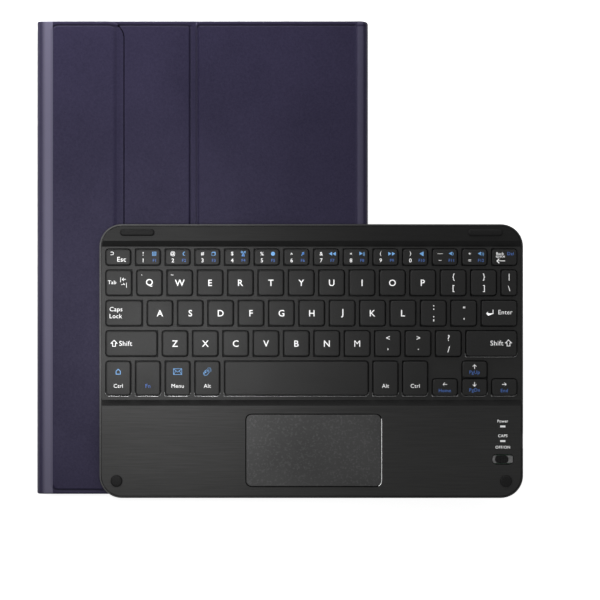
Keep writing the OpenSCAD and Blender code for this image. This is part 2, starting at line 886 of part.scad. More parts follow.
module charge_socket() {
    color(steel_color) on_keyboard() translate([socket_x, socket_y, socket_z])
        difference() {
            translate([0, -socket_w / 2, 0]) cube([socket_l, socket_w, socket_h]);
            translate([socket_t, -socket_w / 2 + socket_t, socket_t])
                cube([socket_l, socket_w - 2 * socket_t, socket_h - 2 * socket_t]);
        }
}

touchpad_z = housing_h + touchpad_proud - touchpad_t;

module touchpad() {
    color([0.29, 0.29, 0.29]) on_keyboard()
        translate([touchpad_x, touchpad_y, touchpad_z]) linear_extrude(touchpad_t)
            rounded_rect(touchpad_w, touchpad_l, touchpad_r);
}

module touchpad_switch() {
    click_y = touchpad_y - touchpad_l / 2 + click_w;
    body_h = touchpad_z - click_gap - base_t;
    color(plastic_color) on_keyboard() translate([touchpad_x, click_y, base_t]) {
        translate([-click_w / 2, -click_w / 2, 0]) cube([click_w, click_w, body_h - 0.4]);
        cylinder(d = click_w / 2, h = body_h, $fn = round_fn);
    }
}

switch_body_h = 1.6;
knob_foot_z = base_t + pcb_t + switch_body_h;
knob_clearance = 0.1;
knob_grooves = 4;
groove_w = 0.4;
groove_d = 0.3;

module switch_body() {
    color(steel_color) on_keyboard()
        translate([switch_x - switch_slot_l / 2, switch_y - knob_w / 2, base_t + pcb_t])
            cube([switch_slot_l, knob_w, switch_body_h]);
}

module switch_knob() {
    knob_x = switch_x - switch_slot_l / 2 + knob_off_gap;
    top_z = housing_h + knob_proud;
    color(rubber_color) on_keyboard() difference() {
        translate([knob_x + knob_l / 2, switch_y, knob_foot_z + knob_clearance])
            linear_extrude(top_z - knob_foot_z - knob_clearance)
                rounded_rect(knob_l, knob_w, knob_w / 2 - 0.3);
        for (i = [1 : knob_grooves])
            translate([knob_x + i * knob_l / (knob_grooves + 1) - groove_w / 2,
                switch_y - knob_w, top_z - groove_d])
                cube([groove_w, 2 * knob_w, groove_d + over]);
    }
}

// ---------- keycaps ----------

module key_cap(k) {
    w = k[2];
    l = k[3];
    skirt_h = key_h - key_bevel;
    cavity_h = key_h - key_top_t;
    translate([k[0] + w / 2, k[1] + l / 2, key_top_z - key_h]) {
        difference() {
            union() {
                linear_extrude(skirt_h) key_outline(w, l, key_r);
                translate([0, 0, skirt_h])
                    linear_extrude(key_bevel, scale = [1 - 2 * key_bevel / w,
                        1 - 2 * key_bevel / l])
                        key_outline(w, l, key_r);
            }
            translate([-w / 2 + key_wall, -l / 2 + key_wall, -over])
                cube([w - 2 * key_wall, l - 2 * key_wall, cavity_h + over]);
        }
        translate([0, 0, cavity_h - stem_h])
            cylinder(d = stem_d, h = stem_h + 0.1, $fn = round_fn);
    }
}

module key_caps(keys) {
    color(key_color) on_keyboard()
        for (k = keys)
            key_cap(k);
}

module key_escape() { key_caps([number_row[0]]); }
module keys_number_left() { key_caps(part_of(number_row, 1, 6)); }
module keys_number_right() { key_caps(part_of(number_row, 7, 12)); }
module key_backspace() { key_caps([number_row[13]]); }
module key_tab() { key_caps([upper_row[0]]); }
module keys_upper_left() { key_caps(part_of(upper_row, 1, 6)); }
module keys_upper_right() { key_caps(part_of(upper_row, 7, 12)); }
module key_backslash() { key_caps([upper_row[13]]); }
module key_caps_lock() { key_caps([home_row[0]]); }
module keys_home_left() { key_caps(part_of(home_row, 1, 5)); }
module keys_home_right() { key_caps(part_of(home_row, 6, 11)); }
module key_enter() { key_caps([home_row[12]]); }
module key_shift_left() { key_caps([lower_row[0]]); }
module keys_lower_left() { key_caps(part_of(lower_row, 1, 5)); }
module keys_lower_right() { key_caps(part_of(lower_row, 6, 10)); }
module key_shift_right() { key_caps([lower_row[11]]); }
module key_control_left() { key_caps([space_row[0]]); }
module key_fn() { key_caps([space_row[1]]); }
module key_menu() { key_caps([space_row[2]]); }
module key_alt_left() { key_caps([space_row[3]]); }
module key_space() { key_caps([space_row[4]]); }
module key_alt_right() { key_caps([space_row[5]]); }
module key_control_right() { key_caps([space_row[6]]); }
module key_arrow_left() { key_caps([arrow_left]); }
module key_arrow_up() { key_caps([arrow_up]); }
module key_arrow_down() { key_caps([arrow_down]); }
module key_arrow_right() { key_caps([arrow_right]); }

front_leather();
front_board();
front_lining();
hinge_strip();
strip_board();
fold_leather();
fold_board();
fold_lining();
edge_bar();
edge_magnets();
cover_magnets();
spine_leather();
spine_board();
back_leather();
back_board();
back_lining();
latch_strip();
tablet_tray();
base_shell();
housing();
dome_sheet();
contact_sheet();
circuit_board();
battery();
charge_socket();
touchpad();
touchpad_switch();
indicator_lenses();
switch_knob();
switch_body();
bar_bumpers();
round_bumpers();
base_screws();
key_escape();
keys_number_left();
keys_number_right();
key_backspace();
key_tab();
keys_upper_left();
keys_upper_right();
key_backslash();
key_caps_lock();
keys_home_left();
keys_home_right();
key_enter();
key_shift_left();
keys_lower_left();
keys_lower_right();
key_shift_right();
key_control_left();
key_fn();
key_menu();
key_alt_left();
key_space();
key_alt_right();
key_control_right();
key_arrow_left();
key_arrow_up();
key_arrow_down();
key_arrow_right();
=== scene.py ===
"""Finishes and soft forms of a tablet keyboard case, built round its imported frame.

Sizes are in millimetres in the case's own frame and become metres when a piece is finished.
"""

import logging
import math
from collections.abc import Callable, Iterable
from dataclasses import dataclass, field
from enum import Enum

import bmesh
import bpy
from mathutils import Matrix, Vector, noise


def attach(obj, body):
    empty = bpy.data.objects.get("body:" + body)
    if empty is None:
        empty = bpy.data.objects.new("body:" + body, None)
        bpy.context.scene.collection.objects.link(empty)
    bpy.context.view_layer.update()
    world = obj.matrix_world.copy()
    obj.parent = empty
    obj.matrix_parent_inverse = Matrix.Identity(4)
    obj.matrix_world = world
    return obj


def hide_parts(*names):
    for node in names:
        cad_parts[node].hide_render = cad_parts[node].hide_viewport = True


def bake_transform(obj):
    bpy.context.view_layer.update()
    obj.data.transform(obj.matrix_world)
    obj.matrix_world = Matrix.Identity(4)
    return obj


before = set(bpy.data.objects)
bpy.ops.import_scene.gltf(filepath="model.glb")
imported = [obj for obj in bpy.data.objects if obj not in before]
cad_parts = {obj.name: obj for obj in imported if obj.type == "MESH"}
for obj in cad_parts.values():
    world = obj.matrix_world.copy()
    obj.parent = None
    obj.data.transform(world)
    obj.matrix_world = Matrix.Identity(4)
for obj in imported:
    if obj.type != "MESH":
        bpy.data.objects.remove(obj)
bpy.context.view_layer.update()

LOG = logging.getLogger("keyboard_case")
MM = 0.001
Point = tuple[float, float, float]
Colour = tuple[float, float, float]
Box = tuple[float, float, float, float]
Ring = list[Point]
Piece = bpy.types.Object
Tree = bpy.types.NodeTree
Socket = bpy.types.NodeSocket
Face = bmesh.types.BMFace
Edge = bmesh.types.BMEdge
Vert = bmesh.types.BMVert


def link(made: Piece) -> Piece:
    """Puts an object in the scene and returns it."""
    bpy.context.scene.collection.objects.link(made)
    return made


def feed(tree: Tree, node: bpy.types.Node,
         inputs: dict[str | int, float | tuple[float, ...] | Socket]) -> bpy.types.Node:
    """Sets or links a node's inputs, by their name or place.

    Args:
        tree: the node's tree.
        node: the node.
        inputs: a value to set or a socket to link, for each input.

    Returns:
        The node.
    """
    for key, value in inputs.items():
        if isinstance(value, Socket):
            tree.links.new(value, node.inputs[key])
        else:
            node.inputs[key].default_value = value
    return node


def add_node(tree: Tree, kind: str, inputs: dict[str | int, float | tuple[float, ...] | Socket],
             **settings: object) -> bpy.types.Node:
    """Adds a node of a kind with its settings and its inputs.

    Args:
        tree: the tree.
        kind: the node's type.
        inputs: a value to set or a socket to link, for each input.
        settings: the node's own settings.

    Returns:
        The node.
    """
    node = tree.nodes.new(kind)
    for key, value in settings.items():
        setattr(node, key, value)
    return feed(tree, node, inputs)


# Painted shade for the leather's pressed lines, and painted highlight for the spine's
# shoulders, beside the crease and on the rolled edge.
PAINTED_SHADE: Colour = (0.002, 0.0016, 0.006)
PAINTED_HIGHLIGHT: Colour = (0.105, 0.098, 0.145)
BRUSH_STRETCH = 0.03
DRIFT_SCALE = 28.0
DRIFT_SHARE = 0.38


class Grain(Enum):
    """How a finish's tones and relief are laid on the surface."""

    HIDE = "fine pebbled leather"
    NAP = "short brushed fibre"
    BRUSHED = "long strokes across the keyboard"
    MOULDED = "spark-eroded plastic"
    SPECKLED = "plastic with fine flecks"
    PLAIN = "smooth, with a slow drift in tone"


@dataclass(frozen=True)
class Finish:
    """A surface finish.

    Args:
        name: name of the material.
        dark: darker tone, linear.
        light: lighter tone, linear.
        rough: roughness in the dark and in the light tone.
        grain: pattern of the finish.
        scale: pattern cells per metre.
        relief: height of the relief in millimetres.
        metallic: share of metal.
        specular: specular level.
        sheen: weight of the fabric sheen.
        glow: strength of the light that the surface gives off.
    """

    name: str
    dark: Colour
    light: Colour
    rough: tuple[float, float]
    grain: Grain
    scale: float
    relief: float = 0.02
    metallic: float = 0.0
    specular: float = 0.5
    sheen: float = 0.0
    glow: float = 0.0

    def material(self) -> bpy.types.Material:
        """Returns the finish's material, made once."""
        found = bpy.data.materials.get(self.name)
        return found or self._make()

    def _make(self) -> bpy.types.Material:
        """Builds the node tree of the finish.

        Returns:
            The material.
        """
        mat = bpy.data.materials.new(self.name)
        mat.use_nodes = True
        mat.diffuse_color = (*self.light, 1.0)
        tree = mat.node_tree
        fine, slow = self._patterns(tree)
        mixed = add_node(tree, "ShaderNodeMath", {0: fine, 1: slow}, operation="ADD",
                         use_clamp=True).outputs[0]
        tone = add_node(tree, "ShaderNodeValToRGB", {"Fac": mixed})
        tone.color_ramp.elements[0].color = (*self.dark, 1.0)
        tone.color_ramp.elements[1].color = (*self.light, 1.0)
        gloss = add_node(tree, "ShaderNodeMapRange", {
            "To Min": self.rough[0], "To Max": self.rough[1], "Value": mixed})
        bump = add_node(tree, "ShaderNodeBump", {
            "Strength": 0.6, "Distance": self.relief * MM, "Height": fine})
        feed(tree, tree.nodes["Principled BSDF"], {
            "Metallic": self.metallic, "Specular IOR Level": self.specular,
            "Sheen Weight": self.sheen, "Emission Color": (*self.light, 1.0),
            "Emission Strength": self.glow, "Roughness": gloss.outputs["Result"],
            "Base Color": self._paint_light(tree, tone.outputs["Color"]),
            "Normal": bump.outputs["Normal"]})
        return mat

    def _paint_light(self, tree: Tree, tone: Socket) -> Socket:
        """Paints highlights on the leather where its point attribute is above 0, and paints
        shade where it is below 0.

        Args:
            tree: the material's tree.
            tone: the finish's colour.

        Returns:
            The colour with its painted highlights and shade.
        """
        if self.grain is not Grain.HIDE:
            return tone
        painted_light = add_node(tree, "ShaderNodeAttribute", {}, attribute_name="painted_light").outputs["Fac"]
        # The attribute's negative part is the share of painted shade, its positive part the
        # share of painted highlight.
        crease = add_node(tree, "ShaderNodeMath", {0: painted_light, 1: -1.0}, operation="MULTIPLY")
        for factor, other in ((crease.outputs[0], PAINTED_SHADE), (painted_light, PAINTED_HIGHLIGHT)):
            tone = add_node(tree, "ShaderNodeMix", {
                "B": (*other, 1.0), "Factor": factor, "A": tone},
                data_type="RGBA").outputs["Result"]
        return tone

    def _patterns(self, tree: Tree) -> tuple[Socket, Socket]:
        """Returns the fine pattern and the slow drift in tone, which add up to 0 to 1.

        Args:
            tree: the material's tree.

        Returns:
            The fine pattern and the drift.
        """
        place = add_node(tree, "ShaderNodeTexCoord", {}).outputs["Object"]
        stretch = BRUSH_STRETCH if self.grain is Grain.BRUSHED else 1.0
        stretched = add_node(tree, "ShaderNodeMapping", {
            "Vector": place, "Scale": (stretch, 1.0, 1.0)}).outputs["Vector"]
        fine = add_node(tree, "ShaderNodeTexNoise", {
            "Scale": self.scale, "Detail": 3.0, "Vector": stretched}).outputs["Fac"]
        low, high = 0.3, 0.7
        if self.grain is Grain.HIDE:
            pebble = add_node(tree, "ShaderNodeTexVoronoi", {
                "Scale": self.scale * 0.55, "Vector": place}, feature="SMOOTH_F1")
            both = add_node(tree, "ShaderNodeMath", {
                0: pebble.outputs["Distance"], 1: 0.5, 2: fine}, operation="MULTIPLY_ADD")
            fine, low, high = both.outputs[0], 0.35, 1.0
        if self.grain is Grain.SPECKLED:
            low, high = 0.52, 0.72
        drift = add_node(tree, "ShaderNodeTexNoise", {
            "Scale": DRIFT_SCALE, "Detail": 2.0, "Vector": stretched}).outputs["Fac"]
        return (self._spread(tree, fine, low, high, 1.0 - DRIFT_SHARE),
                self._spread(tree, drift, 0.3, 0.7, DRIFT_SHARE))

    def _spread(self, tree: Tree, value: Socket, low: float, high: float,
                share: float) -> Socket:
        """Spreads a pattern's values from low to high over 0 to its share."""
        return add_node(tree, "ShaderNodeMapRange", {
            "From Min": low, "From Max": high, "To Max": share,
            "Value": value}).outputs["Result"]


def grey(*tones: float) -> tuple[Colour, ...]:
    """Returns the neutral colours of some tones."""
    return tuple((tone, tone, tone) for tone in tones)


LEATHER = Finish("navy_leather", (0.011, 0.0090, 0.026), (0.024, 0.0200, 0.048),
                 (0.58, 0.48), Grain.HIDE, 1500.0, 0.06, specular=0.13)
# Painted shade: near-black on the strip's free edge, where the strip's shadow falls on the
# panel beside it.
PAINTED_EDGE_SHADE = Finish("painted_edge_shade", (0.0015, 0.0012, 0.004), (0.003, 0.0025, 0.008),
                    (0.7, 0.6), Grain.PLAIN, 900.0, 0.01, specular=0.05)
LINING = Finish("suede_lining", (0.020, 0.018, 0.034), (0.045, 0.041, 0.066), (0.95, 0.85),
                Grain.NAP, 3200.0, 0.08, specular=0.2, sheen=0.3)
HOUSING = Finish("brushed_housing", (0.015, 0.015, 0.0148), (0.028, 0.028, 0.0275),
                 (0.42, 0.36), Grain.BRUSHED, 1500.0, 0.006, specular=0.15)
DECK = Finish("moulded_deck", (0.012, 0.012, 0.0118), (0.019, 0.019, 0.0186),
              (0.42, 0.36), Grain.MOULDED, 2200.0, 0.008, specular=0.16)
# Painted shade: a darker copy of the housing's finish, on the top bar.
PAINTED_BAR_SHADE = Finish("painted_bar_shade", (0.0060, 0.0060, 0.0059), (0.0110, 0.0110, 0.0108), (0.42, 0.36),
             Grain.BRUSHED, 1500.0, 0.005, specular=0.11)
# Painted shade: a darker finish on the slopes between palm rest, deck and bar.
PAINTED_SLOPE_SHADE = Finish("painted_slope_shade", *grey(0.006, 0.010), (0.5, 0.44), Grain.PLAIN, 900.0, 0.004,
              specular=0.09)
KEYCAP = Finish("matt_keycap", (0.009, 0.009, 0.0089), (0.015, 0.015, 0.0148), (0.44, 0.37),
                Grain.MOULDED, 2400.0, 0.010, specular=0.16)
TOUCHPAD = Finish("flecked_touchpad", *grey(0.042, 0.090), (0.46, 0.40), Grain.SPECKLED,
                  900.0, 0.010, specular=0.16)
# Painted shade: near-black chamfers round the openings, standing for the shade in the gaps
# round keys, pad, switch and lights.
PAINTED_GAP_SHADE = Finish("painted_gap_shade", *grey(0.001, 0.002), (0.7, 0.6), Grain.PLAIN, 900.0,
                 0.002, specular=0.03)
# Painted glint: a bright metallic finish on some sides of the openings, standing for light
# caught on their edges.
PAINTED_GLINT = Finish("painted_glint_edge", *grey(0.42, 0.58), (0.3, 0.24), Grain.PLAIN, 900.0, 0.002,
                  metallic=0.6)
RIM = Finish("painted_rim", *grey(0.018, 0.032), (0.42, 0.34), Grain.MOULDED, 1500.0, 0.006,
             metallic=0.25, specular=0.3)
RUBBER = Finish("black_rubber", *grey(0.003, 0.007), (0.55, 0.45), Grain.MOULDED, 1800.0,
                0.012, specular=0.12)
TRAY = Finish("tray_plastic", (0.012, 0.012, 0.013), (0.024, 0.024, 0.026), (0.55, 0.42),
              Grain.MOULDED, 2200.0, 0.014)
NICKEL = Finish("nickel_plate", *grey(0.08, 0.17), (0.4, 0.3), Grain.PLAIN, 600.0, 0.004,
                metallic=1.0)
STEEL = Finish("bright_steel", *grey(0.42, 0.66), (0.34, 0.22), Grain.PLAIN, 600.0, 0.004,
               metallic=1.0)
FIBRE = Finish("fibreboard", (0.16, 0.13, 0.09), (0.33, 0.27, 0.20), (0.95, 0.85),
               Grain.NAP, 900.0, 0.05)
FILM = Finish("contact_film", (0.012, 0.012, 0.013), (0.022, 0.022, 0.024), (0.4, 0.3),
              Grain.PLAIN, 500.0, 0.004)
SILICONE = Finish("silicone_domes", (0.008, 0.008, 0.009), (0.014, 0.014, 0.015),
                  (0.6, 0.5), Grain.PLAIN, 700.0, 0.006, specular=0.2)
BOARD = Finish("circuit_board", (0.010, 0.060, 0.026), (0.022, 0.105, 0.045), (0.45, 0.3),
               Grain.MOULDED, 700.0, 0.02)
CELL = Finish("battery_wrap", (0.28, 0.29, 0.31), (0.46, 0.47, 0.49), (0.4, 0.28),
              Grain.PLAIN, 300.0, 0.01, metallic=0.3)
LENS = Finish("lit_lens", (0.72, 0.73, 0.74), (0.86, 0.87, 0.88), (0.3, 0.2),
              Grain.PLAIN, 900.0, 0.002, glow=0.25)
# Inks of the print, each in its own colour with a painted glow.
WHITE_INK = Finish("white_ink_painted_glow", *grey(0.86, 0.95), (0.6, 0.5), Grain.MOULDED, 1800.0, 0.004,
                   glow=0.35)
BLUE_INK = Finish("blue_ink_painted_glow", (0.035, 0.10, 0.38), (0.08, 0.20, 0.58), (0.6, 0.5),
                  Grain.MOULDED, 1800.0, 0.004, glow=0.12)
SKY_INK = Finish("sky_ink_painted_glow", (0.12, 0.34, 0.72), (0.22, 0.48, 0.86), (0.6, 0.5),
                 Grain.MOULDED, 1800.0, 0.004, glow=0.15)


def rounded(box: Box, inset: float, r: float, z: float, steps: int = 4) -> Ring:
    """Returns the points of a round-cornered rectangle inside a box, anticlockwise.

    Args:
        box: its lowest and highest x, then y.
        inset: how far it is drawn in.
        r: radius of its corners.
        z: its height.
        steps: steps of a corner.

    Returns:
        The points.
    """
    x0, x1, y0, y1 = box[0] + inset, box[1] - inset, box[2] + inset, box[3] - inset
    points = []
    for cx, cy, turn in ((x1 - r, y1 - r, 0), (x0 + r, y1 - r, 90),
                         (x0 + r, y0 + r, 180), (x1 - r, y0 + r, 270)):
        for i in range(steps + 1):
            a = math.radians(turn + 90 * i / steps)
            points.append((cx + r * math.cos(a), cy + r * math.sin(a), z))
    return points


def about(x: float, y: float, w: float, l: float) -> Box:
    """Returns the box of a size about a centre."""
    return (x - w / 2, x + w / 2, y - l / 2, y + l / 2)


def outline_depth(x: float, y: float, box: Box, r: float) -> float:
    """Returns how far a point lies outside a rectangle with round corners.

    Args:
        x: the point's x.
        y: the point's y.
        box: the rectangle.
        r: radius of its corners.

    Returns:
        The distance, below 0 inside.
    """
    x0, x1, y0, y1 = box
    dx = max(x0 + r - x, x - x1 + r)
    dy = max(y0 + r - y, y - y1 + r)
    return math.hypot(max(dx, 0.0), max(dy, 0.0)) + min(max(dx, dy), 0.0) - r


def ramp_line(value: float, start: float, end: float) -> float:
    """Returns a straight step from 0 at start to 1 at end."""
    return min(max((value - start) / (end - start), 0.0), 1.0)


def ramp(value: float, start: float, end: float) -> float:
    """Returns a smooth step from 0 at start to 1 at end."""
    t = ramp_line(value, start, end)
    return t * t * (3 - 2 * t)


def steps_between(start: float, end: float, pitch: float) -> list[float]:
    """Returns even steps from start up to, and without, end."""
    count = max(1, round(abs(end - start) / pitch))
    return [start + (end - start) * i / count for i in range(count)]


class Form:
    """A mesh in the making, in millimetres."""

    def __init__(self) -> None:
        """Starts an empty mesh."""
        self.bm = bmesh.new()

    def ring(self, points: Ring) -> list[Edge]:
        """Adds a closed ring of edges through the points."""
        verts = [self.bm.verts.new(p) for p in points]
        return [self.bm.edges.new(pair) for pair in zip(verts, verts[1:] + verts[:1])]

    def loft(self, rings: Iterable[Ring]) -> None:
        """Bridges rings of equal count in turn and caps the first and the last.

        Args:
            rings: the rings' points, in order.
        """
        loops = [self.ring(r) for r in rings]
        for a, b in zip(loops, loops[1:]):
            bmesh.ops.bridge_loops(self.bm, edges=a + b)
        for loop in (loops[0], loops[-1]):
            bmesh.ops.contextual_create(self.bm, geom=loop)

    def grid(self, columns: int, rows: int, place: Callable[[int, int], Point]) -> None:
        """Adds a grid and puts each of its points where place says.

        Args:
            columns: points along the first direction.
            rows: points along the second direction.
            place: gives the point of a column and a row.
        """
        made = bmesh.ops.create_grid(self.bm, x_segments=columns - 1, y_segments=rows - 1,
                                     size=1.0)
        for vert in made["verts"]:
            column = round((vert.co.x + 1) / 2 * (columns - 1))
            row = round((vert.co.y + 1) / 2 * (rows - 1))
            vert.co = place(column, row)

    def cut(self, faces: list[Face], axis: int, at: float) -> None:
        """Cuts faces along a plane across one axis.

        Args:
            faces: the faces.
            axis: 0 for x, 1 for y, 2 for z.
            at: the plane's place on the axis.
        """
        edges = {e for f in faces for e in f.edges}
        verts = {v for f in faces for v in f.verts}
        normal = Vector((0.0, 0.0, 0.0))
        normal[axis] = 1.0
        bmesh.ops.bisect_plane(self.bm, geom=[*faces, *edges, *verts], plane_co=normal * at,
                               plane_no=normal, dist=1e-4)

    def face_at(self, x: float, y: float) -> Face:
        """Returns the smallest face whose plan box holds a point.

        Args:
            x: the point's x.
            y: the point's y.

        Returns:
            The face.
        """
        best, best_area = None, math.inf
        for face in self.bm.faces:
            xs = [v.co.x for v in face.verts]
            ys = [v.co.y for v in face.verts]
            area = (max(xs) - min(xs)) * (max(ys) - min(ys))
            if min(xs) < x < max(xs) and min(ys) < y < max(ys) and area < best_area:
                best, best_area = face, area
        return best

    def extrude(self, edges: Iterable[Edge]) -> tuple[list[Vert], list[Edge]]:
        """Extrudes edges in place and returns the new vertices and edges."""
        made = bmesh.ops.extrude_edge_only(self.bm, edges=edges)["geom"]
        return ([g for g in made if isinstance(g, Vert)],
                [g for g in made if isinstance(g, Edge)])

    def window(self, x: float, y: float, w: float, l: float, r: float,
               steps: int = 3) -> Face:
        """Cuts a round-cornered face about a centre out of flat faces.

        Args:
            x: the centre's x.
            y: the centre's y.
            w: width along x.
            l: length along y.
            r: radius of the corners.
            steps: steps of a corner.

        Returns:
            The new face.
        """
        for axis, at in ((1, y - l / 2), (1, y + l / 2), (0, x - w / 2), (0, x + w / 2)):
            self.cut([self.face_at(x, y)], axis, at)
        face = self.face_at(x, y)
        bmesh.ops.bevel(self.bm, geom=list(face.verts), offset=r, segments=steps,
                        profile=0.5, affect="VERTICES", material=-1)
        return self.face_at(x, y)

    def add_mesh(self, mesh: bpy.types.Mesh, place: Matrix, finish: int) -> None:
        """Adds a mesh, placed, with one of the piece's finishes.

        Args:
            mesh: the mesh.
            place: where it goes.
            finish: index of its finish.
        """
        before = len(self.bm.faces)
        self.bm.from_mesh(mesh)
        self.bm.faces.ensure_lookup_table()
        new = self.bm.faces[before:]
        verts = list({v for f in new for v in f.verts})
        bmesh.ops.transform(self.bm, matrix=place, verts=verts)
        for face in new:
            face.material_index = finish
        bmesh.ops.remove_doubles(self.bm, verts=verts, dist=1e-5)

    def piece(self, name: str, finishes: Iterable[Finish], slot: str, sharp: float = 35.0,
              outward: bool = True) -> Piece:
        """Turns the mesh into a piece in metres.

        Args:
            name: name of the piece.
            finishes: its finishes, in the order of its faces' indices.
            slot: not used.
            sharp: angle in degrees past which an edge stays sharp.
            outward: whether the normals are worked out again.

        Returns:
            The piece, with its place in its mesh.
        """
        if outward:
            bmesh.ops.recalc_face_normals(self.bm, faces=self.bm.faces)
        bmesh.ops.scale(self.bm, vec=(MM, MM, MM), verts=self.bm.verts)
        mesh = bpy.data.meshes.new(name)
        self.bm.to_mesh(mesh)
        self.bm.free()
        mesh.shade_smooth()
        mesh.set_sharp_from_angle(angle=math.radians(sharp))
        for finish in finishes:
            mesh.materials.append(finish.material())
        made = link(bpy.data.objects.new(name, mesh))
        LOG.info("piece %s, %d faces", name, len(mesh.polygons))
        return made


def thicken(piece: Piece, thickness: float) -> None:
    """Gives a skin its thickness, in millimetres, behind its face.

    Args:
        piece: the skin.
        thickness: its thickness.
    """
    mod = piece.modifiers.new("thickness", "SOLIDIFY")
    mod.thickness = thickness * MM
    mod.offset = -1.0
    mod.use_even_offset = False


def soften(piece: Piece, width: float, segments: int = 2, angle: float = 40.0,
           merge: bool = False) -> None:
    """Rounds a piece's edges with modifiers.

    Args:
        piece: the piece or CAD node.
        width: width of the round in millimetres.
        segments: steps of the round.
        angle: edges that turn by more than this, in degrees, are rounded.
        merge: whether loose triangles are joined first, as on a CAD node.
    """
    if merge:
        piece.modifiers.new("join", "WELD").merge_threshold = 1e-6
    mod = piece.modifiers.new("round", "BEVEL")
    mod.width = width * MM
    mod.segments = segments
    mod.limit_method = "ANGLE"
    mod.angle_limit = math.radians(angle)
    mod.miter_outer = "MITER_ARC"
    piece.modifiers.new("normals", "WEIGHTED_NORMAL").keep_sharp = True


def dress(node: str, finish: Finish) -> Piece:
    """Gives a CAD node its finish.

    Args:
        node: the node's name.
        finish: its finish.

    Returns:
        The node's object.
    """
    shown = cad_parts[node]
    shown.data.materials.clear()
    shown.data.materials.append(finish.material())
    return shown


